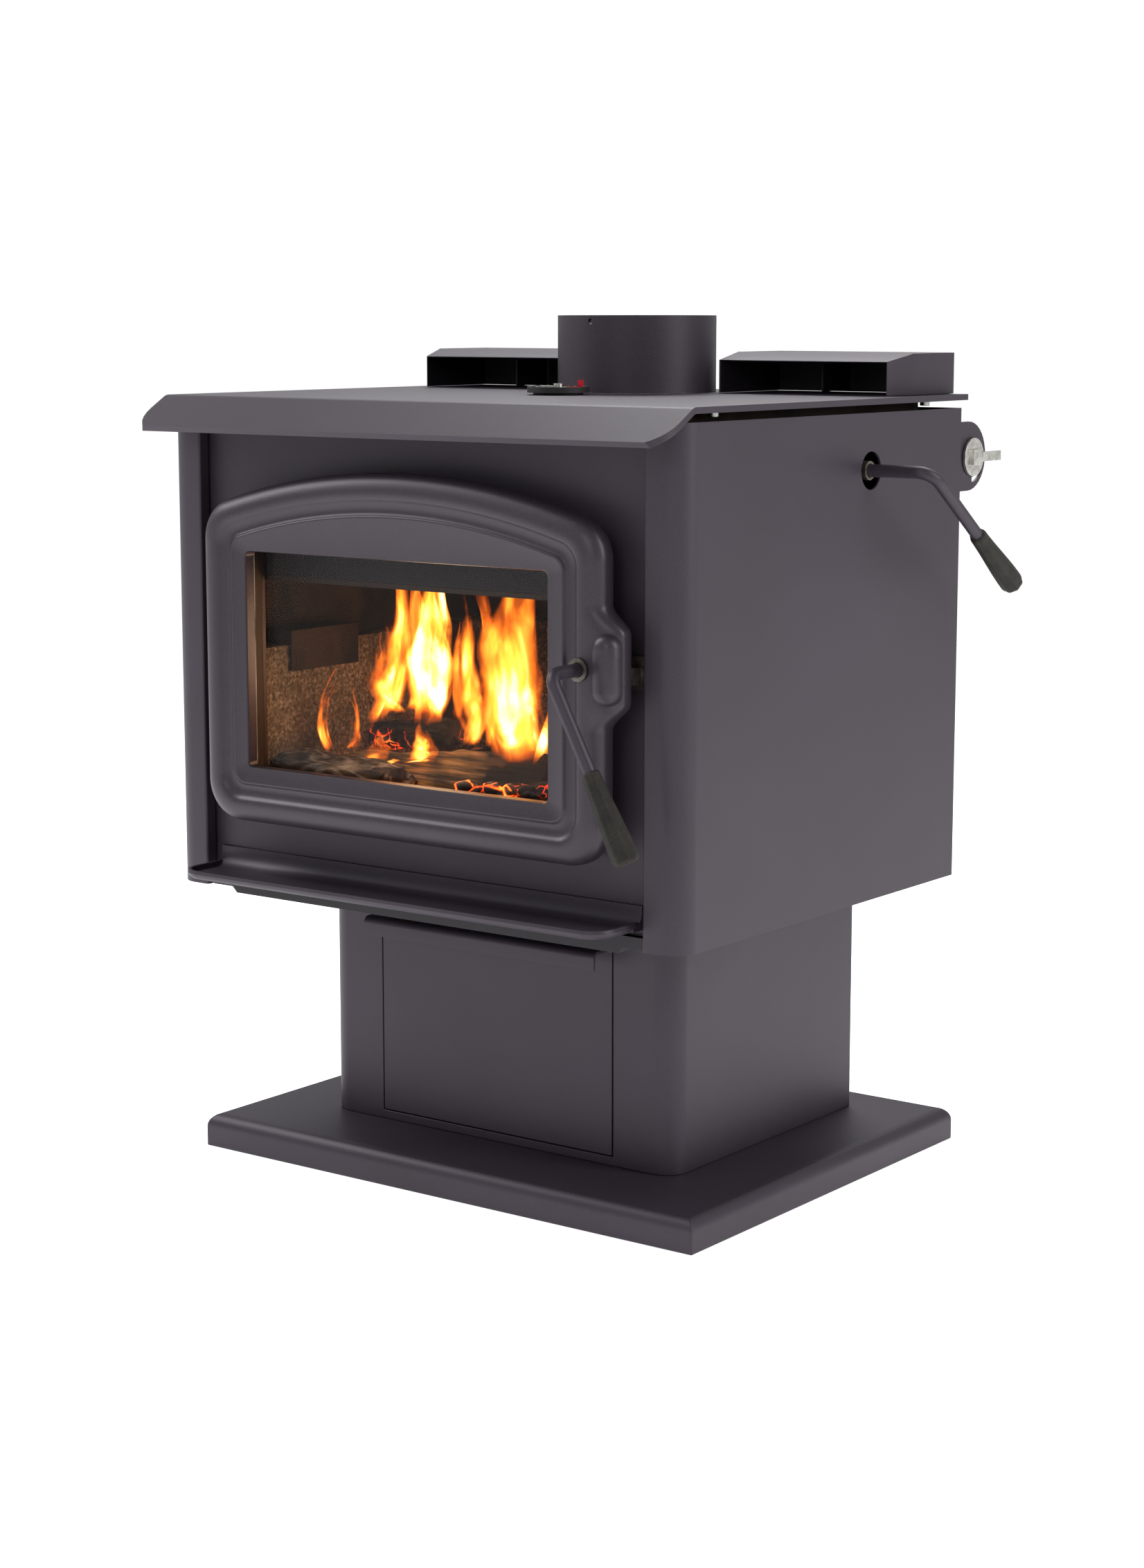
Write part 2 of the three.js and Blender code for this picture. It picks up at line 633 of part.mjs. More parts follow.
function firebox() {
  const top = topUnder - GAP;
  const front = panelBack + GAP;
  const shell = cut(
    box([-boxHalf, front, boxBottom], [boxHalf, boxBack, top]),
    box([-boxInner, front - 1, boxFloor], [boxInner, boxBack - FIREBOX_PLATE, top + 1]),
    rod("z", [0, plugY()], PLUG_R - 4, boxBottom - 1, boxFloor + 1, 24),
    rod("x", [bypassY, bypassZ], ROD_R + PLAY, boxInner - 1, boxHalf + 1, 20),
    airPort(),
  );
  // two flat legs carry it on the pedestal
  const legs = [-1, 1].map((side) => {
    const x = side * (PEDESTAL_W / 2 - 40);
    return box([x - 3, PEDESTAL_FRONT + 30, underShieldZ + APRON_STEP + 2 + GAP], [x + 3, PEDESTAL_BACK - 30, boxBottom + 1]);
  });
  part("firebox_shell", join(shell, ...legs), "burntSteel");

  // front panel with the door opening
  const open = { half: ringInner(), low: windowBottom - 22, high: windowTop + 22 };
  const low = underShieldZ + APRON_H + GAP;
  const plate = extrude("y", rectangle(-boxHalf, low, boxHalf, top), panelFace, panelBack,
    [rectangle(-open.half, open.low, open.half, open.high, 8).reverse()]);
  part("front_panel", plate, "stovePaint");

  // seat ring: the raised edge that the door's rope seal closes on
  const outer = ringInner() + 5;
  const ring = extrude("y",
    rectangle(-outer, windowBottom - 27, outer, windowTop + 27, 12),
    doorBack + SEAL_R - 2, panelFace - GAP,
    [rectangle(-ringInner(), windowBottom - 22, ringInner(), windowTop + 22, 8).reverse()]);
  part("door_seat_ring", ring, "stovePaint");
}

function ringInner() {
  return windowHalf + 20;
}

// The air port in the firebox's rear wall, and the round hole in the rear shield behind it.
function airPort() {
  return rod("y", [airX(), thermostatZ], 16, boxBack - FIREBOX_PLATE - 1, boxBack + 1, 20);
}

function airPortHole() {
  return rod("y", [airX(), thermostatZ], 22, cabinetBack - 4, cabinetBack + 1, 20);
}

function airX() {
  return cabinetHalf - 95;
}

// Slabs of standing firebrick, each with a grooved joint between its two bricks.
function bricks() {
  const floorZ = boxFloor + GAP;
  const side = boxInner - GAP;
  const front = panelBack + BRICK_FRONT_GAP;
  const back = boxBack - FIREBOX_PLATE - GAP;
  const length = (back - BRICK_T - GAP - front - GAP) / 2;
  for (const s of [-1, 1]) {
    for (const [i, word] of ["front", "rear"].entries()) {
      const y = front + i * (length + GAP);
      const [x0, x1] = s < 0 ? [-side, -side + BRICK_T] : [side - BRICK_T, side];
      const face = s < 0 ? x1 : x0;
      const groove = box(
        [face - BRICK_JOINT, y + length / 2 - BRICK_JOINT / 2, floorZ - 1],
        [face + BRICK_JOINT, y + length / 2 + BRICK_JOINT / 2, brickTop + 1]);
      const slab = box([x0, y, floorZ], [x1, y + length, brickTop]);
      part(`side_brick_${s < 0 ? "left" : "right"}_${word}`, cut(slab, groove), "firebrick");
    }
  }
  const faceY = back - BRICK_T;
  const wall = box([-side, faceY, floorZ], [side, back, brickTop]);
  const joints = [-3, -1, 1, 3].map((n) => {
    const x = (n * side) / 5;
    const top = brickTop + 1;
    return box([x - BRICK_JOINT / 2, faceY - 1, floorZ - 1], [x + BRICK_JOINT / 2, faceY + BRICK_JOINT, top]);
  });
  part("back_bricks", cut(wall, ...joints), "firebrick");

  const floorSide = side - BRICK_T - GAP;
  const hole = rod("z", [0, plugY()], PLUG_R, floorZ - 1, floorZ + BRICK_T + 1, 24);
  for (const s of [-1, 1]) {
    const [x0, x1] = s < 0 ? [-floorSide, -GAP / 2] : [GAP / 2, floorSide];
    const slab = box([x0, front, floorZ], [x1, faceY - GAP, floorZ + BRICK_T]);
    const grooves = [1, 2, 3].map((n) => {
      const y = front + ((faceY - GAP - front) * n) / 4;
      return box([x0 - 1, y - BRICK_JOINT / 2, floorZ + BRICK_T - BRICK_JOINT], [x1 + 1, y + BRICK_JOINT / 2, floorZ + BRICK_T + 1]);
    });
    part(`floor_bricks_${s < 0 ? "left" : "right"}`, cut(slab, hole, ...grooves), "firebrick");
  }

  // the ash plug: a cast disc that lifts out of its hole by a loop
  const plugTop = floorZ + BRICK_T;
  const plug = join(
    rod("z", [0, plugY()], PLUG_R - PLAY, floorZ + GAP, plugTop - 8, 24),
    rod("z", [0, plugY()], 5, plugTop - 9, plugTop - 2, 12),
  );
  part("ash_plug", plug, "burntSteel");

  // clips that hook over the bricks and hold them to the walls
  const clipZ = brickTop + GAP;
  const clipY = front + CLIP_SET_BACK;
  const faceX = side - BRICK_T - CLIP_STAND;
  for (const s of [-1, 1]) {
    const section = [
      [side, clipZ], [side, clipZ + CLIP_RISE], [faceX - CLIP_T, clipZ + CLIP_RISE], [faceX - CLIP_T, clipZ - CLIP_DROP],
      [faceX, clipZ - CLIP_DROP], [faceX, clipZ],
    ].map(([x, z]) => [s * x, z]);
    const made = extrude("y", s < 0 ? section.reverse() : section, clipY, clipY + CLIP_L);
    part(`brick_clip_${s < 0 ? "left" : "right"}`, made, "burntSteel");
  }
}

// Gas path: a baffle under the top with the combustor in its front opening and the bypass plate over its rear one.
const baffleZ = bypassZ - ROD_R - GAP;

function gasPath() {
  const half = boxInner - GAP;
  const front = panelBack + 60;
  const back = boxBack - FIREBOX_PLATE - GAP;
  const t = 4;
  const port = {
    half: BYPASS_PLATE_W / 2 - 10, near: bypassY + 12, far: bypassY + BYPASS_PLATE_L - 8,
  };
  const well = { half: 180, near: front + 30, far: front + 110 };
  const baffle = extrude("z", rectangle(-half, front, half, back), baffleZ - t, baffleZ, [
    rectangle(-port.half, port.near, port.half, port.far).reverse(),
    rectangle(-well.half, well.near, well.half, well.far).reverse(),
  ]);
  part("smoke_baffle", baffle, "burntSteel");

  // the combustor: a honeycomb block held in its steel band, drawn with wide cells
  const [nearY, farY] = [well.near + 1, well.far - 1];
  const [low, high] = [baffleZ - t - 30, baffleZ + 20];
  const block = box([-well.half + 1, nearY, low], [well.half - 1, farY, high]);
  const cells = [];
  const across = 9;
  const pitch = (2 * well.half - 12) / across;
  for (let i = 0; i < across; i++) {
    const x = -well.half + 6 + i * pitch + 3;
    cells.push(box([x, nearY + 7, low - 1], [x + pitch - 6, farY - 7, high + 1]));
  }
  part("combustor", cut(block, ...cells), "honeycomb");

  // flame shield: a bent plate hung under the combustor, open at its sides
  const shieldZ = low - 3;
  const shield = folded([
    [nearY - 26, shieldZ + 16], [nearY - 10, shieldZ - 6, 4], [farY + 14, shieldZ - 34, 4], [farY + 26, shieldZ - 20],
  ], 2.5, 3);
  const hangers = [-1, 1].map((side) => {
    const x = side * (well.half + 14);
    return box([x - 2, nearY + 10, shieldZ - 17], [x + 2, nearY + 34, baffleZ - t - GAP]);
  });
  part("flame_shield", join(extrude("x", shield, -well.half - 20, well.half + 20), ...hangers), "burntSteel");

  // air wash: a box across the top of the opening with a slot that blows down the glass
  const washHalf = boxInner - 10;
  const washFront = panelBack + GAP + 1;
  const low2 = windowTop - 28;
  const wash = cut(
    box([-washHalf, washFront, low2], [washHalf, washFront + 34, low2 + 44]),
    box([-washHalf + 3, washFront + 3, low2 + 3], [washHalf - 3, washFront + 31, low2 + 41]),
    box([-washHalf + 10, washFront + 4, low2 - 1], [washHalf - 10, washFront + 9, low2 + 4]),
    box([washHalf - 4, washFront + 8, low2 + 10], [washHalf + 1, washFront + 26, low2 + 34]),
  );
  part("air_wash_manifold", wash, "stovePaint");
}

// ---- stove top, flue collar, hoods and thermometer ---------------------------------------------------------------------
function stoveTop() {
  const half = cabinetHalf + TOP_OVERHANG;
  const back = cabinetBack + TOP_REAR_OVERHANG;
  const bend = CABINET_FRONT + 6;
  const slope = THREE.MathUtils.degToRad(LIP_SLOPE);
  const lip = [bend - LIP_REACH * Math.cos(slope), topFace - LIP_REACH * Math.sin(slope)];
  const section = folded([[back, topFace], [bend, topFace, 14], lip].reverse(), -TOP_T, 5);
  const flueHole = rod("z", [0, collarY], collarR - COLLAR_WALL - 4, topUnder - 1, topFace + 1, 40);
  const plan = rounded([
    [-half, lip[0] - 4, LIP_CORNER_R], [half, lip[0] - 4, LIP_CORNER_R], [half, back, 4], [-half, back, 4],
  ], true, 7);
  const trim = extrude("z", plan, lip[1] - 40, topFace + 5);
  const sheet = extrude("x", section.reverse(), -half, half);
  part("stove_top", cut(sheet.intersect(trim), flueHole), "stovePaint");

  const collarTop = topFace + GAP + COLLAR_H;
  const screwZ = collarTop - COLLAR_SCREW_DROP;
  let collar = tube("z", [0, collarY], collarR, collarR - COLLAR_WALL, topFace + GAP, collarTop, 72);
  for (const degrees of [0, 120, 240]) {
    const a = THREE.MathUtils.degToRad(degrees);
    const hole = new THREE.CylinderGeometry(COLLAR_SCREW_R, COLLAR_SCREW_R, 20, 12);
    hole.translate(0, -collarR, 0);
    hole.rotateZ(a);
    hole.translate(0, collarY, screwZ);
    collar = cut(collar, solid(hole));
  }
  part("flue_collar", collar, "stovePaint");
}

// Each hood is an air outlet: open at the front, its top sloping up from the mouth, its outer wall tapering in.
function hood(side) {
  const low = topFace + GAP;
  const back = cabinetBack + TOP_REAR_OVERHANG;
  const front = back - HOOD_D;
  const outer = cabinetHalf + TOP_OVERHANG - HOOD_OUTER_INSET;
  const inner = collarR + HOOD_COLLAR_CLEAR;
  const shape = (inset, lift) => {
    const profile = [
      [front - lift, low - lift], [front - lift, low + HOOD_MOUTH_H - inset],
      [front + HOOD_SLOPE_D, low + HOOD_H - inset], [back - inset, low + HOOD_H - inset], [back - inset, low - lift],
    ];
    const plan = [
      [inner + inset, front - 2 - lift], [outer - HOOD_TAPER - inset, front - 2 - lift],
      [outer - HOOD_TAPER - inset, front - lift], [outer - inset, front + HOOD_SLOPE_D],
      [outer - inset, back + 2 - inset], [inner + inset, back + 2 - inset],
    ];
    return extrude("x", profile.reverse(), 0, outer + 5).intersect(extrude("z", plan, low - lift - 1, low + HOOD_H + 1));
  };
  const made = cut(shape(0, 0), shape(HOOD_SHEET, 5));
  part(side < 0 ? "fan_hood_left" : "fan_hood_right", side < 0 ? mirrored(made) : made, "stovePaint");
}

function thermometer() {
  const y = collarY - collarR - DIAL_AHEAD;
  const low = topFace + GAP;
  const top = low + DIAL_T;
  const body = cut(
    join(
      rod("z", [0, y], DIAL_R, low + 2, top, 36),
      rod("z", [0, y], DIAL_R - 6, low, low + 3, 20),
    ),
    rod("z", [0, y], DIAL_R - 3, top - 2, top + 1, 36),
  );
  const post = rod("z", [0, y], 2, top - 3, top + 0.6, 12);
  part("thermometer_case", join(body, post), "blackPaint");

  // needle: a flat pointer with a bright hub that turns on the post, its red tail flag standing up
  const z = top - 1.4;
  const lean = THREE.MathUtils.degToRad(NEEDLE_REST);
  const turn = ([a, b]) => [a * Math.cos(lean) - b * Math.sin(lean), y + a * Math.sin(lean) + b * Math.cos(lean)];
  const blade = [[-24, -1], [-2, -3], [26, -3], [26, 3], [-2, 3], [-24, 1]].map(turn);
  const flag = [[20, -3], [26, -3], [26, 3], [20, 3]].map(turn);
  part("thermometer_needle", cut(
    join(
      extrude("z", blade, z, z + 1.4),
      extrude("z", flag, z + 0.5, z + 8),
      rod("z", [0, y], 5, z, z + 4.4, 16),
    ),
    rod("z", [0, y], 2 + GAP, z - 1, z + 2.6, 16),
  ), "brightSteel");
}

// ---- door ------------------------------------------------------------------------------------------------------
// How far the door's right edge bulges at a height, to cover the latch.
function bossBulge(z) {
  const off = Math.abs(z - latchZ);
  const flat = BOSS_H / 2 - 22;
  if (off <= flat) return BOSS_REACH;
  if (off >= BOSS_H / 2) return 0;
  return (BOSS_REACH / 2) * (1 + Math.cos((Math.PI * (off - flat)) / 22));
}

// The door's outline in (x, z), moved in by an inset: an arched head on straight sides, and the bulge when asked.
function doorOutline(inset, bulge = false) {
  const half = doorHalf - inset;
  const r = Math.max(3, DOOR_CORNER_R - inset);
  const headR = (doorHalf ** 2 + DOOR_ARCH ** 2) / (2 * DOOR_ARCH);
  const head = (x) => doorSideTop + DOOR_ARCH - headR + Math.sqrt((headR - inset) ** 2 - x * x);
  const arch = [0.68, 0.51, 0.34, 0.17, 0, -0.17, -0.34, -0.51, -0.68].map((f) => [f * half, head(f * half)]);
  const flank = [-46, -39, -32, -24, 24, 32, 39, 46].map((dz) => {
    const z = latchZ + (dz * BOSS_H) / 92;
    return [half + (bulge ? bossBulge(z) : 0), z];
  });
  const low = doorBottom + inset;
  return rounded([
    [-half, low, r], [half, low, r], ...flank, [half, head(half), r], ...arch, [-half, head(half), r],
  ]);
}

const glassHalf = windowHalf + GLASS_LAP - GAP;
const rebateY = doorBack - 10;

function doorFrame() {
  const rings = [{ at: doorBack, outline: doorOutline(0, true) }];
  const steps = 5;
  for (let i = 0; i <= steps; i++) {
    const a = (Math.PI / 2) * (i / steps);
    rings.push({
      at: doorFace + DOOR_EDGE_R * (1 - Math.sin(a)),
      outline: doorOutline(DOOR_EDGE_R * (1 - Math.cos(a)), true),
    });
  }
  const slope = MOULDING_DEPTH;
  for (const [inset, depth] of [
    [MOULDING_INSET, 0],
    [MOULDING_INSET + slope, MOULDING_DEPTH],
    [MOULDING_INSET + MOULDING_W - slope, MOULDING_DEPTH],
    [MOULDING_INSET + MOULDING_W, FIELD_SET_BACK],
  ]) {
    rings.push({ at: doorFace + depth, outline: doorOutline(inset) });
  }
  const slab = loft("y", rings);

  const capsule = new THREE.CapsuleGeometry(15, BOSS_H - 38, 6, 16);
  capsule.rotateX(Math.PI / 2);
  capsule.translate(latchX + BOSS_BESIDE_LATCH, doorFace + 8, latchZ);

  const window = extrude("y",
    rectangle(-windowHalf, windowBottom, windowHalf, windowTop, WINDOW_R), doorFace - 2, doorBack + 1);
  const rebate = box(
    [-windowHalf - GLASS_LAP, rebateY, windowBottom - GLASS_LAP],
    [windowHalf + GLASS_LAP, doorBack + 1, windowTop + GLASS_LAP]);
  const groove = sealRing(SEAL_R - 1 + GAP, doorBack - 5, doorBack + 1);
  const bore = rod("y", [latchX, latchZ], ROD_R + 3.4, doorFace - 20, doorBack + 1, 24);
  const lugs = hingeHeights().map((z) => hingeLug(z));
  part("door_frame", cut(join(slab, solid(capsule), ...lugs), window, rebate, groove, bore), "castPaint");
}

// The rope seal's run: a rectangle round the glass, over the seat ring.
function sealRing(halfWidth, from, to) {
  const mid = ringInner() + 2.5;
  const rise = mid - windowHalf;
  const ring = (d) => rectangle(
    -mid - d, windowBottom - rise - d, mid + d, windowTop + rise + d, 12 + d);
  return extrude("y", ring(halfWidth), from, to, [ring(-halfWidth).reverse()]);
}

const hingeHeights = () => [doorBottom + 60, doorSideTop - 60];

// The door's half of a hinge: a knuckle above the bracket's, and an arm to the back of the door.
function hingeLug(z) {
  const low = z + GAP;
  const high = low + HINGE_KNUCKLE_H;
  const knuckle = rod("z", [hingeX, hingeY], HINGE_KNUCKLE_R, low, high, 20);
  const arm = box([hingeX, doorBack - 1, low], [hingeX + 30, hingeY + 3, high]);
  return cut(join(knuckle, arm), rod("z", [hingeX, hingeY], HINGE_PIN_R + GAP, low - 1, high + 1, 16));
}

function hinges() {
  for (const [i, z] of hingeHeights().entries()) {
    const word = ["lower", "upper"][i];
    const low = z - HINGE_KNUCKLE_H;
    const bracket = cut(
      join(
        rod("z", [hingeX, hingeY], HINGE_KNUCKLE_R, low, z, 20),
        box([hingeX - HINGE_KNUCKLE_R, hingeY, low], [hingeX + HINGE_KNUCKLE_R, panelFace - GAP, z]),
        box([hingeX - HINGE_KNUCKLE_R, panelFace - GAP - 3, low - 6], [hingeX + 20, panelFace - GAP, z + 6]),
      ),
      rod("z", [hingeX, hingeY], HINGE_PIN_R + 0.5, low - 1, z + 1, 16),
    );
    part(`hinge_bracket_${word}`, bracket, "stovePaint");
    const top = z + GAP + HINGE_KNUCKLE_H;
    const pin = join(
      rod("z", [hingeX, hingeY], HINGE_PIN_R, low - 2, top + 1, 16),
      rod("z", [hingeX, hingeY], HINGE_PIN_R + 1.8, top + GAP, top + 3, 16),
    );
    part(`hinge_pin_${word}`, pin, "bareSteel");
  }
}

function door() {
  doorFrame();
  hinges();
  const rise = glassHalf - windowHalf;
  const low = windowBottom - rise;
  const high = windowTop + rise;
  const gasketBack = rebateY + GAP + GASKET_T;
  const glassFront = gasketBack + GAP;
  const glassBack = glassFront + GLASS_T;
  part("glass_gasket", extrude("y",
    rectangle(-glassHalf, low, glassHalf, high), rebateY + GAP, gasketBack,
    [rectangle(-windowHalf - 2, windowBottom - 2, windowHalf + 2, windowTop + 2).reverse()]), "rope");
  part("door_glass", box([-glassHalf, glassFront, low], [glassHalf, glassBack, high]), "glass");

  // clips screwed to the back of the door press the glass on its gasket
  const clip = (zIn, zOut) => {
    const [z0, z1] = [Math.min(zIn, zOut), Math.max(zIn, zOut)];
    const padOut = zOut > zIn ? Math.min(zOut, high) : Math.max(zOut, low);
    const [p0, p1] = [Math.min(zIn, padOut), Math.max(zIn, padOut)];
    return join(
      box([-windowHalf + 20, doorBack + GAP, z0], [windowHalf - 20, doorBack + GAP + 2.2, z1]),
      box([-windowHalf + 20, glassBack + GAP, p0 + (zOut > zIn ? 0 : 0.4)],
        [windowHalf - 20, doorBack + GAP + 2, p1 - (zOut > zIn ? 0.4 : 0)]),
    );
  };
  part("glass_clip_upper", clip(windowTop + 5, high + 4), "bareSteel");
  part("glass_clip_lower", clip(windowBottom - 5, low - 4), "bareSteel");
  part("door_seal", sealRing(SEAL_R - 1, doorBack - 5 + GAP, doorBack + SEAL_R - 2 - GAP), "rope");
}

// ---- latch: a bent rod through the door, a grip on its arm and a hook behind the door -----------------------------
function latch() {
  const rad = THREE.MathUtils.degToRad;
  const armY = doorFace - LATCH_OUT;
  const dir = [Math.sin(rad(LATCH_LEAN)), 0, -Math.cos(rad(LATCH_LEAN))];
  const along = (t) => [latchX + dir[0] * t, armY, latchZ + dir[2] * t];
  const [gripL] = LATCH_GRIP;
  const gripFrom = LATCH_ARM - gripL;
  const rodEnd = gripFrom + gripL * 0.6;
  const shaftBack = doorBack + 13;
  part("latch_rod", bentRod([latchX, shaftBack, latchZ], [latchX, armY, latchZ], along(rodEnd), ROD_R, BEND_R),
    "stovePaint");
  part("latch_grip", grip(LATCH_GRIP, along(gripFrom), along(LATCH_ARM), rodEnd - gripFrom), "grip");

  part("latch_bushing", join(
    tube("y", [latchX, latchZ], ROD_R + 3, ROD_R + 0.6, doorFace - 1, doorBack - GAP, 24),
    tube("y", [latchX, latchZ], ROD_R + 4.6, ROD_R + 0.6, doorFace - 3, doorFace - GAP, 24),
  ), "stovePaint");

  // the hook lies flat behind the door; straight down is latched, and then it points into the catch
  const hookFront = doorBack + 5;
  const hookBack = hookFront + 4;
  const lift = rad(LATCH_LEAN);
  const turn = ([x, z]) => [
    latchX + x * Math.cos(lift) - z * Math.sin(lift), latchZ + x * Math.sin(lift) + z * Math.cos(lift),
  ];
  const w = HOOK_W / 2;
  const arm = [[0, -w], [HOOK_REACH - 4, -w], [HOOK_REACH, -w + 5], [HOOK_REACH, w], [0, w]].map(turn);
  const hook = cut(
    join(
      extrude("y", arm, hookFront, hookBack),
      rod("y", [latchX, latchZ], ROD_R + 4, doorBack + GAP, hookBack + 2, 20),
    ),
    rod("y", [latchX, latchZ], ROD_R + GAP, doorBack - 1, hookBack + 3, 20),
  );
  part("latch_hook", hook, "bareSteel");

  // the catch: a post on the front panel with a lip that the hook passes behind
  const postX = columnEdge - 15;
  const lipLow = latchZ - 15;
  const lipHigh = latchZ + 1;
  const lipFront = doorBack + 1;
  part("latch_catch", join(
    box([latchX + 20, panelFace - GAP - 3, lipLow - 6], [postX + 8, panelFace - GAP, lipHigh + 10]),
    box([postX, lipFront, lipLow], [postX + 4, panelFace - GAP - 1, lipHigh]),
    box([latchX + 16, lipFront, lipLow], [postX + 4, hookFront - 0.8, lipHigh]),
  ), "bareSteel");
}

// ---- bypass: a bent rod through the right side, with the plate that it lifts inside ---------------------------------
function bypass() {
  const rad = THREE.MathUtils.degToRad;
  const armX = cabinetHalf + BYPASS_OUT;
  const dir = [0, Math.sin(rad(BYPASS_LEAN)), -Math.cos(rad(BYPASS_LEAN))];
  const along = (t) => [armX, bypassY + dir[1] * t, bypassZ + dir[2] * t];
  const [gripL] = BYPASS_GRIP;
  const gripFrom = BYPASS_ARM - gripL;
  const rodEnd = gripFrom + gripL * 0.6;
  const inner = -BYPASS_PLATE_W / 2;
  part("bypass_rod", bentRod(
    [inner, bypassY, bypassZ], [armX, bypassY, bypassZ], along(rodEnd), ROD_R, BEND_R + 4), "stovePaint");
  part("bypass_grip", grip(BYPASS_GRIP, along(gripFrom), along(BYPASS_ARM), rodEnd - gripFrom), "grip");

  const half = BYPASS_PLATE_W / 2;
  const low = baffleZ + GAP;
  const near = bypassY + ROD_R + 1;
  const plate = join(
    box([-half, near, low], [half, bypassY + BYPASS_PLATE_L, low + 5]),
    ...[-1, 1].map((side) => {
      const x = side * (half - 16);
      return rod("x", [bypassY, bypassZ], ROD_R + 5, x - 7, x + 7, 20)
        .intersect(box([x - 8, bypassY - 4, bypassZ], [x + 8, bypassY + 20, bypassZ + 20]));
    }),
    ...[-1, 1].map((side) => {
      const x = side * (half - 16);
      return box([x - 7, bypassY + ROD_R + 1, low], [x + 7, bypassY + ROD_R + 12, bypassZ + 4]);
    }),
  );
  part("bypass_plate", cut(plate, rod("x", [bypassY, bypassZ], ROD_R + GAP, -half - 1, half + 1, 20)), "burntSteel");

  // a collar on the firebox wall guides the rod and shows as a ring inside the shield's hole
  part("bypass_bushing", join(
    tube("x", [bypassY, bypassZ], ROD_R + 3.2, ROD_R + 0.6, boxHalf + GAP, cabinetHalf - 1, 24),
    tube("x", [bypassY, bypassZ], ROD_R + 9, ROD_R + 0.6, boxHalf + GAP, boxHalf + 4, 24),
  ), "bareSteel");
}

// ---- thermostat: a knob on a rear bracket turns a bimetal coil, and the air flap follows ----
function thermostat() {
  const y = thermostatY;
  const z = thermostatZ;
  const back = cabinetBack + GAP;
  const plateX = cabinetHalf - SHIELD_SHEET - GAP - BRACKET_T;
  const round = Array.from({ length: 19 }, (_, i) => {
    const a = -Math.PI / 2 + (Math.PI * i) / 18;
    return [y - 6 + bracketR * Math.cos(a), z + 1 + bracketR * Math.sin(a)];
  });
  const outline = [[back, z + 1 - bracketR], ...round, [back, z + 1 + bracketR]];
  const arc = (r, from, to, n = 8) => Array.from({ length: n + 1 }, (_, i) => {
    const a = THREE.MathUtils.degToRad(from + ((to - from) * i) / n);
    return [y + r * Math.cos(a), z + r * Math.sin(a)];
  });
  const slot = [...arc(THERMOSTAT_R + 1.5, -85, -8), ...arc(THERMOSTAT_R + 7, -8, -85)];
  const plate = extrude("x", outline, plateX, plateX + BRACKET_T, [
    circle([y, z], 4.6, 16).reverse(),
    slot.reverse(),
  ]);
  const tab = box([plateX - 30, back, z + 1 - bracketR], [plateX + 1, back + BRACKET_T, z + 1 + bracketR]);
  part("thermostat_bracket", join(plate, tab), "stovePaint");

  const discX = cabinetHalf - 2;
  const boxRight = plateX - 32 - GAP;
  part("thermostat_knob", join(
    rod("x", [y, z], THERMOSTAT_R, discX, discX + 3, 40),
    rod("x", [y, z], 4, boxRight - 30, discX + 1, 16),
    box([discX + 2, y - 8, z - 8], [discX + 7, y + 8, z + 8]),
    box([discX + 3, y, z - 5], [discX + 6.5, y + LEVER_L, z + 5]),
  ), "brightSteel");

  // housing: an open-bottomed box behind the rear shield with a spigot into the firebox's air port
  const left = boxRight - 118;
  const [low, high] = [z - bracketR, z + bracketR - 2];
  const depth = 50;
  const wall = 2;
  const casing = cut(
    box([left, back, low], [boxRight, back + depth, high]),
    box([left + wall, back + wall, low - 1], [boxRight - wall, back + depth - wall, high - wall]),
  );
  const spigotFrom = boxBack + GAP;
  const spigot = rod("y", [airX(), z], 17, spigotFrom, back + wall, 24);
  const bore = rod("y", [airX(), z], 15, spigotFrom - 1, back + wall + 1, 24);
  const shaftHole = rod("x", [y, z], 4.8, boxRight - wall - 1, boxRight + 1, 16);
  part("thermostat_housing", cut(join(casing, spigot), bore, shaftHole), "stovePaint");

  // bimetal coil: a flat spiral strip on the shaft
  const turns = 3;
  const steps = turns * 14;
  const spiral = (offset) => Array.from({ length: steps + 1 }, (_, i) => {
    const a = (2 * Math.PI * turns * i) / steps;
    const r = 4 + GAP + 1 + (3.4 * i * turns) / steps + offset;
    return [y + r * Math.cos(a), z + r * Math.sin(a)];
  });
  const strip = [...spiral(0), ...spiral(1).reverse()];
  part("thermostat_coil", extrude("x", strip, boxRight - 26, boxRight - 14), "bareSteel");

  // air flap: hinged along the housing's lower front edge, part open
  const hinge = [back + 5, low - 3.5];
  const tilt = THREE.MathUtils.degToRad(FLAP_TILT);
  const dir = [Math.cos(tilt), -Math.sin(tilt)];
  const reach = depth - 8;
  const flap = [
    hinge, [hinge[0] + dir[0] * reach, hinge[1] + dir[1] * reach],
    [hinge[0] + dir[0] * reach - dir[1] * -1.6, hinge[1] + dir[1] * reach - 1.6],
    [hinge[0], hinge[1] - 1.6],
  ];
  part("air_flap", join(
    extrude("x", flap, left + 4, boxRight - 4),
    rod("x", hinge, 2.2, left + 2, boxRight - 2, 12),
  ), "galvanised");
}

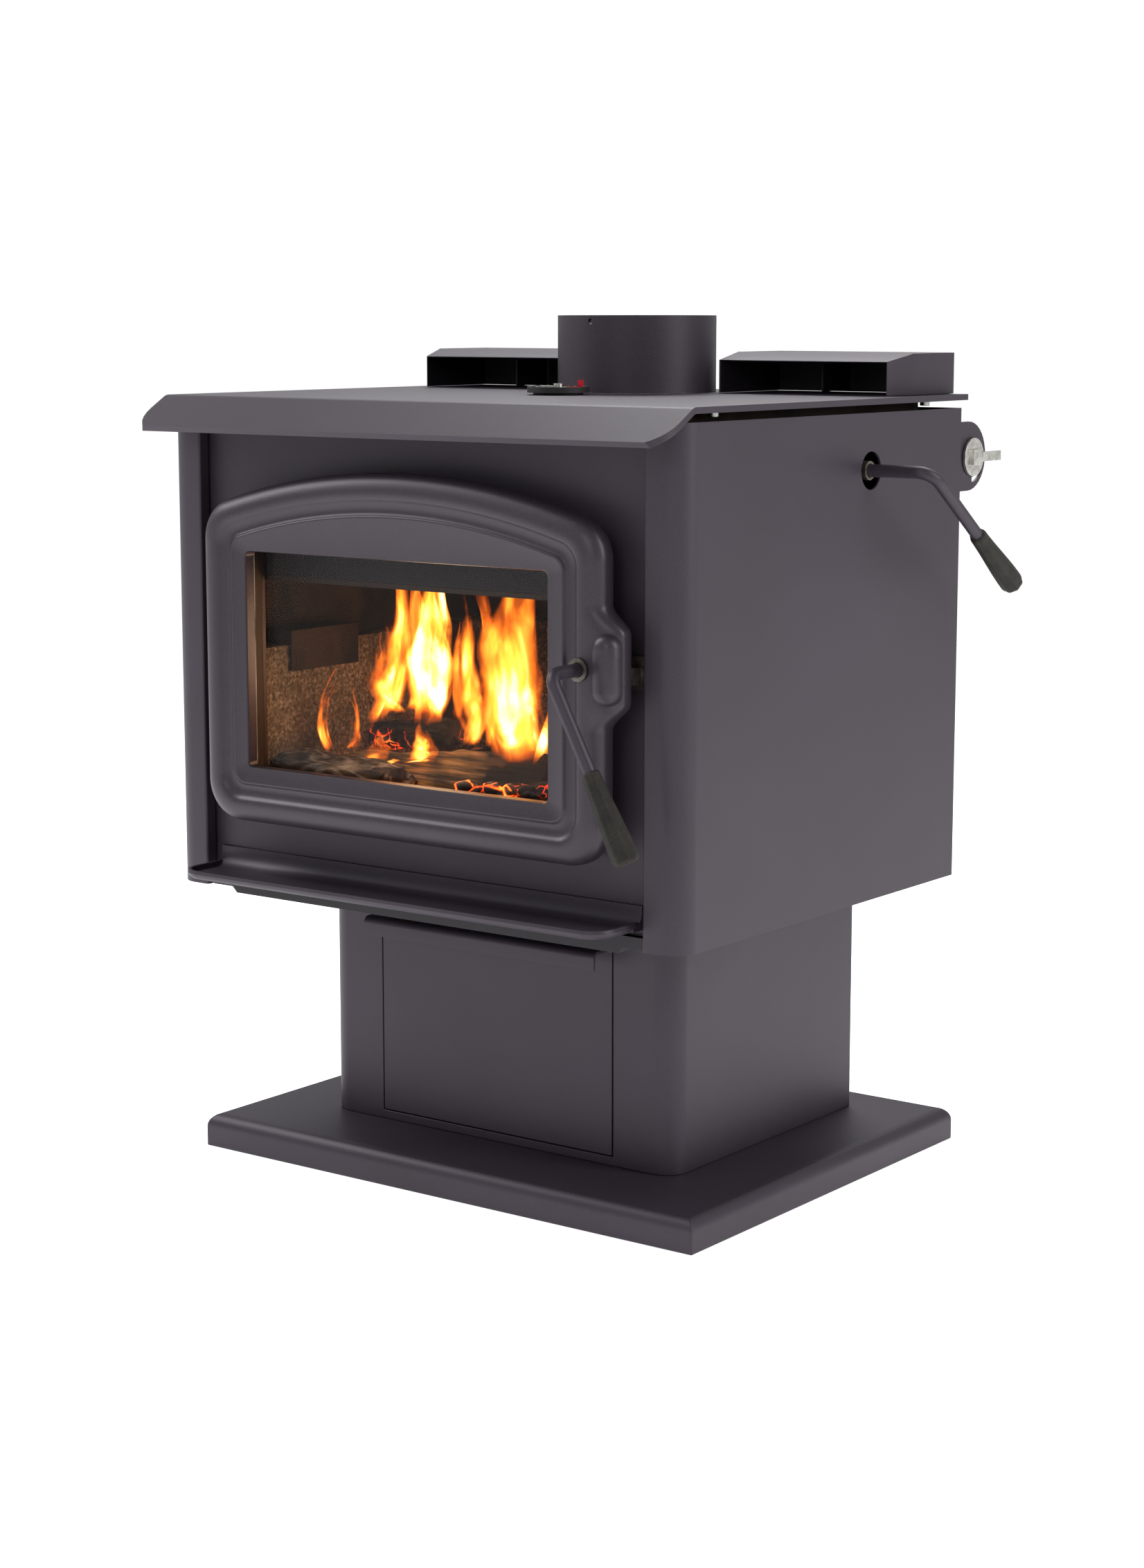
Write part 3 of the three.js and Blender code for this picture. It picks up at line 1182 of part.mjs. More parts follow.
// ---- ash lip: a shelf under the door with a low rim on its three free sides --------------------------------------------
function ashLip() {
  const half = columnEdge - ASH_LIP_INSET;
  const back = panelFace - GAP;
  const front = panelFace - ASH_LIP_REACH;
  const low = cabinetBottom + ASH_LIP_RISE;
  const r = ASH_LIP_R;
  const plan = (inset) => rounded([
    [-half + inset, back], [-half + inset, front + inset, r - inset],
    [half - inset, front + inset, r - inset], [half - inset, back],
  ], true, 6);
  const rim = 9;
  const body = loft("z", [
    { at: low, outline: plan(5) }, { at: low + 3, outline: plan(1) }, { at: low + 6, outline: plan(0) },
    { at: low + rim, outline: plan(1) },
  ]);
  const dish = extrude("z", plan(4), low + ASH_LIP_T, low + rim + 1);
  const backLow = low + 1;
  // the back flange, with a cove down to the shelf
  const cove = 14;
  const section = [[back, backLow], [back, low + ASH_LIP_BACK_H], [back - 3, low + ASH_LIP_BACK_H]];
  for (let i = 0; i <= 6; i++) {
    const a = (Math.PI / 2) * (i / 6);
    section.push([back - 3 - cove * (1 - Math.cos(a)), low + ASH_LIP_T + cove * (1 - Math.sin(a)) + 0]);
  }
  section.push([back - 3 - cove, backLow]);
  const flange = extrude("x", section, -half, half);
  part("ash_lip", join(cut(body, dish), flange), "stovePaint");
}

base();
pedestal();
ashDrawer();
cabinet();
firebox();
bricks();
gasPath();
stoveTop();
hood(-1);
hood(1);
thermometer();
door();
latch();
bypass();
thermostat();
ashLip();

export default stove;
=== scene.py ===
"""A freestanding wood burning stove with its fire lit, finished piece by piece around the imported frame."""

import math
import random

import bpy
from mathutils import Matrix, Vector, noise


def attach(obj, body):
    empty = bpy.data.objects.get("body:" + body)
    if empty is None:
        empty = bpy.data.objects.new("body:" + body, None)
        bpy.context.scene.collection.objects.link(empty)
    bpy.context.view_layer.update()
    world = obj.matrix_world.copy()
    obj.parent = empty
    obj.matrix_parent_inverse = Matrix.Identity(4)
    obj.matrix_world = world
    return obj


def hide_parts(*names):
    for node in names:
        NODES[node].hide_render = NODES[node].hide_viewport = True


bl_info = {
    "name": "Wood Burning Stove",
    "version": (1, 0, 0),
    "blender": (4, 5, 0),
    "location": "View3D > Sidebar > Stove",
    "description": "Finishes, castings, fire and studio of a pedestal wood burning stove",
    "category": "Object",
}

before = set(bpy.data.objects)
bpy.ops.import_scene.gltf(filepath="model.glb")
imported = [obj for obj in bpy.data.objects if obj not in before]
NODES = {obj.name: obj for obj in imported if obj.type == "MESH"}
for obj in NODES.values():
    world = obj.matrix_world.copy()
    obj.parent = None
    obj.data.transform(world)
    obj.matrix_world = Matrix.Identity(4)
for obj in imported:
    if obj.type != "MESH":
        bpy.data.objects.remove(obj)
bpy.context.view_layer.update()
MM = 0.001


def linear(hex_colour, alpha=1.0):
    """An sRGB hex value as the linear colour that a shader takes."""
    channels = [int(hex_colour[i:i + 2], 16) / 255 for i in (0, 2, 4)]
    bent = [c / 12.92 if c <= 0.04045 else ((c + 0.055) / 1.055) ** 2.4 for c in channels]
    return (*bent, alpha)


def paint_swatch(name, description, hex_colour):
    return bpy.props.FloatVectorProperty(
        name=name, description=description, subtype="COLOR", size=4, min=0, max=1, default=linear(hex_colour))


def length(name, description, millimetres):
    return bpy.props.FloatProperty(
        name=name, description=description, subtype="DISTANCE", unit="LENGTH", min=0, default=millimetres * MM)


class StoveColours(bpy.types.PropertyGroup):
    """The colours of the stove's finishes"""
    sheet_paint: paint_swatch("Sheet paint", "Metallic charcoal on the sheet metal", "37303a")
    cast_paint: paint_swatch("Cast paint", "Satin charcoal on the cast door", "363038")
    grip: paint_swatch("Grips", "Olive black of the moulded grips", "1c1a15")
    brick: paint_swatch("Firebrick", "Buff of the refractory bricks", "93836a")
    bark: paint_swatch("Bark", "Dark brown of the bark", "33251c")
    split_wood: paint_swatch("Split wood", "Pale face of a split log", "6e5434")
    flag: paint_swatch("Needle flag", "Red flag of the thermometer's needle", "c4142c")


class StoveSizes(bpy.types.PropertyGroup):
    """The sizes of the details that the frame doesn't hold"""
    sheet_edge: length("Sheet edge", "Rounding of a cut sheet's edge", 0.7)
    plate_edge: length("Plate edge", "Rounding of the stove top's edge", 1.4)
    door_crown: length("Door crown", "Width of the rounded outer edge of the door", 19)
    door_cove: length("Door cove", "Depth of the cove round the door's raised frame", 5.8)
    rope: length("Door rope", "Diameter of the door's rope seal", 9.4)
    grain: length("Paint grain", "Grain of the metallic paint, drawn a little coarse so that it shows", 1.5)
    brick_grit: length("Brick grit", "Grit of the firebricks", 3.2)


# ---- meshes ------------------------------------------------------------------------------------------------

def mesh_piece(name, vertices, faces, sharp_degrees=None):
    """A smooth mesh object from plain lists, with edges sharper than an angle left crisp."""
    mesh = bpy.data.meshes.new(name)
    mesh.from_pydata([tuple(v) for v in vertices], [], faces)
    mesh.validate()
    mesh.shade_smooth()
    if sharp_degrees:
        mesh.set_sharp_from_angle(angle=math.radians(sharp_degrees))
    piece = bpy.data.objects.new(name, mesh)
    bpy.context.scene.collection.objects.link(piece)
    return piece


def skin(rings, count, loop_rings=False):
    """Quads between neighbouring rings of count points each, and from the last ring back to the first if asked."""
    faces = []
    for r in range(rings if loop_rings else rings - 1):
        low, high = r * count, ((r + 1) % rings) * count
        for i in range(count):
            j = (i + 1) % count
            faces.append((low + i, low + j, high + j, high + i))
    return faces


def capped(rings, count):
    """Skin with its two open ends closed by one face each."""
    last = (rings - 1) * count
    return skin(rings, count) + [tuple(reversed(range(count))), tuple(range(last, last + count))]


def joined(parts):
    """Several (vertices, faces) as one."""
    vertices, faces = [], []
    for some_vertices, some_faces in parts:
        base = len(vertices)
        vertices += list(some_vertices)
        faces += [tuple(base + i for i in face) for face in some_faces]
    return vertices, faces


def ring(centre, across, up, radius, sides, wave=None):
    points = []
    for i in range(sides):
        a = 2 * math.pi * i / sides
        r = radius * (wave(a) if wave else 1)
        points.append(centre + across * (r * math.cos(a)) + up * (r * math.sin(a)))
    return points


def turned(start, axis, profile, sides=32):
    """A closed turned body: (distance along, radius) pairs about an axis."""
    axis = axis.normalized()
    across = axis.orthogonal().normalized()
    up = axis.cross(across)
    points = []
    for along, radius in profile:
        points += ring(start + axis * along, across, up, radius, sides)
    return points, capped(len(profile), sides)


BOX_FACES = [(3, 2, 1, 0), (4, 5, 6, 7), (0, 1, 5, 4), (1, 2, 6, 5), (2, 3, 7, 6), (3, 0, 4, 7)]


def block(low, high):
    """A box as (vertices, faces); its piece gets a bevel."""
    (x0, y0, z0), (x1, y1, z1) = low, high
    corners = [(x0, y0, z0), (x1, y0, z0), (x1, y1, z0), (x0, y1, z0),
               (x0, y0, z1), (x1, y0, z1), (x1, y1, z1), (x0, y1, z1)]
    return [Vector(c) for c in corners], BOX_FACES


def soften(piece, width, segments=2):
    """Merges the facets' corners, clears the flat triangles, and rounds and shades the edges."""
    weld = piece.modifiers.new("merge_corners", "WELD")
    weld.merge_threshold = 0.01 * MM
    flat = piece.modifiers.new("clear_flats", "DECIMATE")
    flat.decimate_type = "DISSOLVE"
    flat.angle_limit = math.radians(0.5)
    bevel = piece.modifiers.new("round_edges", "BEVEL")
    bevel.width = width
    bevel.segments = segments
    bevel.limit_method = "ANGLE"
    bevel.angle_limit = math.radians(35)
    bevel.miter_outer = "MITER_ARC"
    shade = piece.modifiers.new("even_shading", "WEIGHTED_NORMAL")
    shade.keep_sharp = False
    shade.weight = 80


def dress(names, material, edge=0.0, segments=2):
    """Gives CAD nodes their material, and rounds their edges if asked."""
    for name in names:
        node = NODES[name]
        for material_slot in node.material_slots:
            material_slot.material = material
        if edge:
            soften(node, edge, segments)


def place(piece, body, material, stands_for=()):
    """Puts a finished piece on its body."""
    piece.data.materials.append(material)
    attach(piece, body)
    if stands_for:
        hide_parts(*stands_for)
    return piece


# ---- materials ---------------------------------------------------------------------------------------------

def add_node(tree, kind, inputs=None, **settings):
    """Adds a shader node; an input is a value, or another node's output to link."""
    node = tree.nodes.new(kind)
    for name, value in settings.items():
        setattr(node, name, value)
    for name, value in (inputs or {}).items():
        if isinstance(value, bpy.types.NodeSocket):
            tree.links.new(value, node.inputs[name])
        else:
            node.inputs[name].default_value = value
    return node


def new_surface(name):
    """An empty material: its node tree, its shader and its row-frame coordinates."""
    material = bpy.data.materials.new(name)
    material.use_nodes = True
    tree = material.node_tree
    shader = next(n for n in tree.nodes if n.type == "BSDF_PRINCIPLED")
    place_of = add_node(tree, "ShaderNodeTexCoord").outputs["Object"]
    return material, tree, shader, place_of


def per(millimetres):
    """The scale of a pattern whose features are this many millimetres across."""
    return 1 / (millimetres * MM)


def set_sockets(shader, **values):
    for name, value in values.items():
        shader.inputs[name.replace("_", " ")].default_value = value


def ramp(tree, factor, stops):
    node = add_node(tree, "ShaderNodeValToRGB", {"Fac": factor})
    elements = node.color_ramp.elements
    while len(elements) < len(stops):
        elements.new(0.5)
    for element, (position, colour) in zip(elements, stops):
        element.position = position
        element.color = colour
    return node.outputs["Color"]


def shade(colour, factor):
    """A linear colour made lighter or darker."""
    return (*(min(1, c * factor) for c in colour[:3]), 1)


def colours():
    return bpy.context.scene.stove_colours


def sizes():
    return bpy.context.scene.stove_sizes


def sprayed_paint(name, colour, grain, roughness, metallic, relief):
    """Silicone stove paint: aluminium flake gives a fine grain, and thin and thick coats a slow change of tone."""
    material, tree, shader, where = new_surface(name)
    flake = add_node(tree, "ShaderNodeTexNoise", {"Vector": where, "Scale": 1 / grain, "Detail": 2.0})
    coat = add_node(tree, "ShaderNodeTexNoise", {"Vector": where, "Scale": per(220), "Detail": 3.0})
    tone = add_node(tree, "ShaderNodeMath", {0: flake.outputs["Fac"], 1: 0.45}, operation="MULTIPLY")
    tone = add_node(tree, "ShaderNodeMath", {0: coat.outputs["Fac"], 1: 0.55, 2: tone.outputs[0]},
                    operation="MULTIPLY_ADD")
    stops = [(0.3, shade(colour, 0.8)), (0.7, shade(colour, 1.2))]
    tree.links.new(ramp(tree, tone.outputs[0], stops), shader.inputs["Base Color"])
    rough = add_node(tree, "ShaderNodeMapRange", {
        "Value": flake.outputs["Fac"], "To Min": roughness - 0.05, "To Max": roughness + 0.07})
    tree.links.new(rough.outputs["Result"], shader.inputs["Roughness"])
    bump = add_node(tree, "ShaderNodeBump", {
        "Height": flake.outputs["Fac"], "Strength": relief, "Distance": 0.25 * MM})
    tree.links.new(bump.outputs["Normal"], shader.inputs["Normal"])
    set_sockets(shader, Metallic=metallic)
    return material


def metallic_stove_paint():
    return sprayed_paint("metallic_stove_paint", colours().sheet_paint, sizes().grain, 0.47, 0.35, 0.35)


def soot_and_shade_paint():
    """The same paint, darker and duller: soot where fire has browned it, and painted shade on the sheet under the
    cabinet.
    """
    return sprayed_paint("soot_and_shade_paint", linear("1f1b21"), sizes().grain, 0.62, 0.1, 0.2)


def heat_browned_paint():
    return sprayed_paint("heat_browned_paint", linear("33261f"), sizes().grain, 0.65, 0.1, 0.3)


def satin_cast_iron_paint():
    """Paint over cast iron: the casting's skin shows as a slow, shallow orange peel."""
    return sprayed_paint("satin_cast_iron_paint", colours().cast_paint, 2.6 * MM, 0.4, 0.35, 0.28)


def matte_black_paint():
    return sprayed_paint("matte_black_paint", linear("151417"), sizes().grain, 0.6, 0.0, 0.4)


def mottled_metal(name, light, dark, blotch, roughness, metallic, relief=0.3):
    """Steel whose skin is blotched: mill scale, heat tint or handling."""
    material, tree, shader, where = new_surface(name)
    wide = add_node(tree, "ShaderNodeTexNoise", {
        "Vector": where, "Scale": per(blotch), "Detail": 6.0, "Distortion": 0.6})
    fine = add_node(tree, "ShaderNodeTexNoise", {"Vector": where, "Scale": per(2.5), "Detail": 3.0})
    tree.links.new(ramp(tree, wide.outputs["Fac"], [(0.35, linear(dark)), (0.65, linear(light))]),
                   shader.inputs["Base Color"])
    rough = add_node(tree, "ShaderNodeMapRange", {
        "Value": wide.outputs["Fac"], "To Min": roughness - 0.1, "To Max": roughness + 0.12})
    tree.links.new(rough.outputs["Result"], shader.inputs["Roughness"])
    bump = add_node(tree, "ShaderNodeBump", {
        "Height": fine.outputs["Fac"], "Strength": relief, "Distance": 0.3 * MM})
    tree.links.new(bump.outputs["Normal"], shader.inputs["Normal"])
    set_sockets(shader, Metallic=metallic)
    return material


def fire_darkened_plate():
    """Hot-rolled plate, oxidised brown and black by the fire, nearly matte."""
    return mottled_metal("fire_darkened_plate", "3a2d25", "17120f", 45, 0.78, 0.3, 0.6)


def dull_bare_steel():
    return mottled_metal("dull_bare_steel", "7c756e", "4a443f", 18, 0.45, 0.9)


def nickel_plated_steel():
    """Bright nickel: light grey, nearly a mirror, with faint rubbing marks."""
    return mottled_metal("nickel_plated_steel", "dedcd6", "b9b7b1", 9, 0.24, 1.0, 0.08)


def galvanised_sheet():
    """Hot-dip zinc: flat crystals, or spangles, about 12 mm across, each with its own grey and gloss."""
    material, tree, shader, where = new_surface("galvanised_sheet")
    spangle = add_node(tree, "ShaderNodeTexVoronoi", {"Vector": where, "Scale": per(12)})
    grey = add_node(tree, "ShaderNodeSeparateColor", {"Color": spangle.outputs["Color"]})
    tree.links.new(ramp(tree, grey.outputs[0], [(0, linear("6f7173")), (1, linear("a3a5a6"))]),
                   shader.inputs["Base Color"])
    rough = add_node(tree, "ShaderNodeMapRange", {"Value": grey.outputs[1], "To Min": 0.3, "To Max": 0.55})
    tree.links.new(rough.outputs["Result"], shader.inputs["Roughness"])
    set_sockets(shader, Metallic=0.9)
    return material


def moulded_phenolic():
    """Phenolic resin, moulded and blasted: olive black, dry, with a fine pitted grain."""
    material, tree, shader, where = new_surface("moulded_phenolic")
    pits = add_node(tree, "ShaderNodeTexNoise", {"Vector": where, "Scale": per(1.4), "Detail": 4.0})
    smear = add_node(tree, "ShaderNodeTexNoise", {"Vector": where, "Scale": per(16), "Detail": 3.0})
    tone = add_node(tree, "ShaderNodeMath", {0: pits.outputs["Fac"], 1: smear.outputs["Fac"]}, operation="MULTIPLY")
    grip = colours().grip
    tree.links.new(ramp(tree, tone.outputs[0], [(0.16, shade(grip, 0.6)), (0.42, shade(grip, 1.9))]),
                   shader.inputs["Base Color"])
    bump = add_node(tree, "ShaderNodeBump", {"Height": pits.outputs["Fac"], "Strength": 0.7, "Distance": 0.4 * MM})
    tree.links.new(bump.outputs["Normal"], shader.inputs["Normal"])
    set_sockets(shader, Roughness=0.72, Specular_IOR_Level=0.35)
    return material


def refractory_brick():
    """Pressed fireclay: buff, dry, packed with pale and dark grit, and sooted in clouds."""
    material, tree, shader, where = new_surface("refractory_brick")
    grit = add_node(tree, "ShaderNodeTexNoise", {
        "Vector": where, "Scale": 1 / sizes().brick_grit, "Detail": 5.0, "Roughness": 0.7})
    soot = add_node(tree, "ShaderNodeTexNoise", {"Vector": where, "Scale": per(130), "Detail": 4.0})
    brick = colours().brick
    speckle = ramp(tree, grit.outputs["Fac"], [
        (0.34, shade(brick, 0.16)), (0.46, shade(brick, 0.55)), (0.55, brick), (0.66, shade(brick, 2.1))])
    cloud = ramp(tree, soot.outputs["Fac"], [(0.38, (0.16, 0.13, 0.11, 1)), (0.62, (1, 1, 1, 1))])
    sooted = add_node(tree, "ShaderNodeMixRGB", {"Fac": 1.0, "Color1": speckle, "Color2": cloud},
                      blend_type="MULTIPLY")
    tree.links.new(sooted.outputs["Color"], shader.inputs["Base Color"])
    bump = add_node(tree, "ShaderNodeBump", {"Height": grit.outputs["Fac"], "Strength": 0.8, "Distance": 1.2 * MM})
    tree.links.new(bump.outputs["Normal"], shader.inputs["Normal"])
    set_sockets(shader, Roughness=0.92)
    return material


def honeycomb_ceramic():
    """Cordierite: tan, dry and porous."""
    return mottled_metal("honeycomb_ceramic", "7d7262", "5a5045", 14, 0.9, 0.0, 0.5)


def smoked_door_glass():
    """Glass ceramic: nearly clear, with the brown cast and faint smoke film of a used stove."""
    material, tree, shader, where = new_surface("smoked_door_glass")
    film = add_node(tree, "ShaderNodeTexNoise", {"Vector": where, "Scale": per(160), "Detail": 2.0})
    cover = add_node(tree, "ShaderNodeMapRange", {"Value": film.outputs["Fac"], "To Min": 0.08, "To Max": 0.2})
    tree.links.new(cover.outputs["Result"], shader.inputs["Alpha"])
    set_sockets(shader, Base_Color=linear("1a120e"), Roughness=0.04)
    return material


def braided_glass_rope():
    """Glass fibre rope: grey white, fuzzy, with the slant of its strands and a trace of soot."""
    material, tree, shader, where = new_surface("braided_glass_rope")
    strands = add_node(tree, "ShaderNodeTexWave", {"Vector": where, "Scale": per(14), "Distortion": 1.5},
                       bands_direction="DIAGONAL")
    soot = add_node(tree, "ShaderNodeTexNoise", {"Vector": where, "Scale": per(60), "Detail": 3.0})
    tree.links.new(ramp(tree, soot.outputs["Fac"], [(0.35, linear("4e4842")), (0.65, linear("b8b2a6"))]),
                   shader.inputs["Base Color"])
    bump = add_node(tree, "ShaderNodeBump", {"Height": strands.outputs["Fac"], "Strength": 0.8, "Distance": 1 * MM})
    tree.links.new(bump.outputs["Normal"], shader.inputs["Normal"])
    set_sockets(shader, Roughness=0.95)
    return material


def stretched(tree, where, long_mm, across_mm, turn=(0.0, 0.0, 0.0), detail=5.0, distortion=0.0):
    """Noise drawn out along x, as grain or streaks are."""
    laid = add_node(tree, "ShaderNodeMapping", {
        "Vector": where, "Rotation": turn, "Scale": (per(long_mm), per(across_mm), per(across_mm))})
    return add_node(tree, "ShaderNodeTexNoise", {
        "Vector": laid.outputs["Vector"], "Scale": 1.0, "Detail": detail, "Distortion": distortion}).outputs["Fac"]


def glow(tree, shader, factor, stops, strength):
    """Emission where a factor is high."""
    tree.links.new(ramp(tree, factor, stops), shader.inputs["Emission Color"])
    set_sockets(shader, Emission_Strength=strength)


def ashy_bark():
    """Bark half burnt: dark cracks along the log between scales gone to grey ash."""
    material, tree, shader, where = new_surface("ashy_bark")
    scales = stretched(tree, where, 34, 11, detail=6.0, distortion=1.2)
    ash = add_node(tree, "ShaderNodeTexNoise", {"Vector": where, "Scale": per(26), "Detail": 6.0})
    blend = add_node(tree, "ShaderNodeMath", {0: scales, 1: 0.6}, operation="MULTIPLY")
    blend = add_node(tree, "ShaderNodeMath", {0: ash.outputs["Fac"], 1: 0.4, 2: blend.outputs[0]},
                     operation="MULTIPLY_ADD").outputs[0]
    bark = colours().bark
    tree.links.new(ramp(tree, blend, [
        (0.36, shade(bark, 0.25)), (0.47, bark), (0.54, linear("6f5f52")), (0.66, linear("a89c90"))]),
        shader.inputs["Base Color"])
    bump = add_node(tree, "ShaderNodeBump", {"Height": blend, "Strength": 1.0, "Distance": 5 * MM})
    tree.links.new(bump.outputs["Normal"], shader.inputs["Normal"])
    set_sockets(shader, Roughness=0.95)
    return material


def split_wood():
    """The torn face of a split log: pale fibres along it, charring to black in patches and towards its right end."""
    material, tree, shader, where = new_surface("split_wood")
    fibres = stretched(tree, where, 90, 4)
    char = add_node(tree, "ShaderNodeTexNoise", {"Vector": where, "Scale": per(40), "Detail": 5.0}).outputs["Fac"]
    spot = add_node(tree, "ShaderNodeSeparateXYZ", {"Vector": where})
    along = add_node(tree, "ShaderNodeMapRange", {
        "Value": spot.outputs["X"], "From Min": -70 * MM, "From Max": 40 * MM, "To Min": 0.0, "To Max": 0.55})
    burnt = add_node(tree, "ShaderNodeMath", {0: along.outputs["Result"], 1: char}, operation="ADD").outputs[0]
    wood = colours().split_wood
    pale = ramp(tree, fibres, [(0.36, shade(wood, 0.25)), (0.5, wood), (0.62, shade(wood, 2.1))])
    mask = ramp(tree, burnt, [(0.55, (0, 0, 0, 1)), (0.75, (1, 1, 1, 1))])
    face = add_node(tree, "ShaderNodeMixRGB", {"Fac": mask, "Color1": pale, "Color2": linear("15100d")})
    tree.links.new(face.outputs["Color"], shader.inputs["Base Color"])
    bump = add_node(tree, "ShaderNodeBump", {"Height": fibres, "Strength": 0.9, "Distance": 2.5 * MM})
    tree.links.new(bump.outputs["Normal"], shader.inputs["Normal"])
    set_sockets(shader, Roughness=0.9)
    return material


def glowing_char(name, amount, strength):
    """Charcoal: black and checked, with ash on its scales and fire in some of its cracks."""
    material, tree, shader, where = new_surface(name)
    checks = add_node(tree, "ShaderNodeTexVoronoi", {"Vector": where, "Scale": per(17)},
                      feature="DISTANCE_TO_EDGE").outputs["Distance"]
    patches = add_node(tree, "ShaderNodeTexNoise", {"Vector": where, "Scale": per(34), "Detail": 5.0}).outputs["Fac"]
    tree.links.new(ramp(tree, patches, [(0.4, linear("0f0b09")), (0.56, linear("2b221d")), (0.7, linear("8a8078"))]),
                   shader.inputs["Base Color"])
    cracks = add_node(tree, "ShaderNodeMapRange", {
        "Value": checks, "From Min": 0.0, "From Max": 0.16, "To Min": 0.34, "To Max": 0.0}).outputs["Result"]
    heat = add_node(tree, "ShaderNodeMath", {0: patches, 1: cracks}, operation="ADD").outputs[0]
    glow(tree, shader, heat, [
        (amount, (0, 0, 0, 1)), (amount + 0.1, linear("c02a04")), (amount + 0.22, linear("ff8a1e"))], strength)
    bump = add_node(tree, "ShaderNodeBump", {"Height": checks, "Strength": 0.9, "Distance": 4 * MM})
    tree.links.new(bump.outputs["Normal"], shader.inputs["Normal"])
    set_sockets(shader, Roughness=0.95)
    return material


def flame():
    """Burning gas: clear at its edges and tip, orange through yellow to nearly white in its core."""
    material, tree, shader, where = new_surface("flame")
    heat = add_node(tree, "ShaderNodeAttribute", attribute_name="warmth").outputs["Fac"]
    streaks = stretched(tree, where, 26, 80, (0.0, math.radians(90), 0.0), 4.0, 0.8)
    licked = add_node(tree, "ShaderNodeMapRange", {
        "Value": streaks, "From Min": 0.34, "From Max": 0.66, "To Min": 0.12, "To Max": 1.3}).outputs["Result"]
    body = add_node(tree, "ShaderNodeMath", {0: heat, 1: licked}, operation="MULTIPLY").outputs[0]
    glow(tree, shader, body, [
        (0.0, linear("9c2a04")), (0.14, linear("ee6a12")), (0.3, linear("ffac38")), (0.62, linear("fff2c4"))], 5.5)
    cover = add_node(tree, "ShaderNodeMapRange", {
        "Value": body, "From Min": 0.03, "From Max": 0.6, "To Min": 0.0, "To Max": 0.85})
    tree.links.new(cover.outputs["Result"], shader.inputs["Alpha"])
    set_sockets(shader, Base_Color=(0, 0, 0, 1), Roughness=1.0, Specular_IOR_Level=0.0)
    return material


def masked(material, colour, roughness, centre_mm, direction, from_mm):
    """Paints the part of a material that lies beyond a plane."""
    tree = material.node_tree
    shader = next(n for n in tree.nodes if n.type == "BSDF_PRINCIPLED")
    where = next(n for n in tree.nodes if n.type == "TEX_COORD").outputs["Object"]
    offset = add_node(tree, "ShaderNodeVectorMath", {0: where, 1: [c * MM for c in centre_mm]}, operation="SUBTRACT")
    along = add_node(tree, "ShaderNodeVectorMath", {0: offset.outputs["Vector"], 1: direction},
                     operation="DOT_PRODUCT").outputs["Value"]
    beyond = add_node(tree, "ShaderNodeMath", {0: along, 1: from_mm * MM}, operation="GREATER_THAN").outputs[0]
    under = shader.inputs["Base Color"].links[0].from_socket
    colour_mix = add_node(tree, "ShaderNodeMixRGB", {"Fac": beyond, "Color1": under, "Color2": colour})
    tree.links.new(colour_mix.outputs["Color"], shader.inputs["Base Color"])
    bare = add_node(tree, "ShaderNodeMath", {0: 1.0, 1: beyond}, operation="SUBTRACT").outputs[0]
    tree.links.new(bare, shader.inputs["Metallic"])
    set_sockets(shader, Roughness=roughness)
    return material


# ---- the cast door -----------------------------------------------------------------------------------------

DOOR = {"half": 249, "low": 373, "side_top": 690, "crown": 732, "corner": 40, "tighten": 0.62, "face": -313, "back": -287}
WINDOW = {"half": 189, "low": 431, "side_top": 649, "crown": 649.01, "corner": 6, "tighten": 1.0}
GLASS_REBATE_Y = -297
CORNER_STEPS = 10
SIDE_STEPS = 110
END_STEPS = 44
BOSS_Z = (530, 593)
BOSS_REACH = 21
BOSS_FILLET = 27
CREASE = 20


def outline(shape, inset):
    """The points of an arched outline moved inwards; every outline has the same number on each side and corner."""
    half = shape["half"] - inset
    low = shape["low"] + inset
    radius = max(shape["corner"] - shape["tighten"] * inset, 0.4)
    rise = shape["crown"] - shape["side_top"]
    arch = (shape["half"] ** 2 + rise ** 2) / (2 * rise)
    centre_z = shape["crown"] - arch
    arch -= inset
    fillet_z = centre_z + math.sqrt((arch - radius) ** 2 - (half - radius) ** 2)
    swing = math.asin((half - radius) / (arch - radius))
    points = []

    def arc(cx, cz, r, start, stop, steps):
        for i in range(steps):
            a = start + (stop - start) * i / steps
            points.append((cx + r * math.cos(a), cz + r * math.sin(a)))

    def line(x0, z0, x1, z1, steps):
        for i in range(steps):
            t = i / steps
            points.append((x0 + (x1 - x0) * t, z0 + (z1 - z0) * t))

    quarter = math.pi / 2
    arc(half - radius, low + radius, radius, -quarter, 0, CORNER_STEPS)
    line(half, low + radius, half, fillet_z, SIDE_STEPS)
    arc(half - radius, fillet_z, radius, 0, quarter - swing, CORNER_STEPS)
    arc(0, centre_z, arch, quarter - swing, quarter + swing, END_STEPS)
    arc(radius - half, fillet_z, radius, quarter + swing, math.pi, CORNER_STEPS)
    line(-half, fillet_z, -half, low + radius, SIDE_STEPS)
    arc(radius - half, low + radius, radius, math.pi, 3 * quarter, CORNER_STEPS)
    line(radius - half, low, half - radius, low, END_STEPS)
    return points


def smooth_step(t):
    t = min(1, max(0, t))
    return t * t * (3 - 2 * t)


def boss(z):
    """How far the latch boss stands out at a height, from 0 to 1."""
    rising = smooth_step((z - BOSS_Z[0] + BOSS_FILLET) / BOSS_FILLET)
    falling = smooth_step((BOSS_Z[1] + BOSS_FILLET - z) / BOSS_FILLET)
    return rising * falling


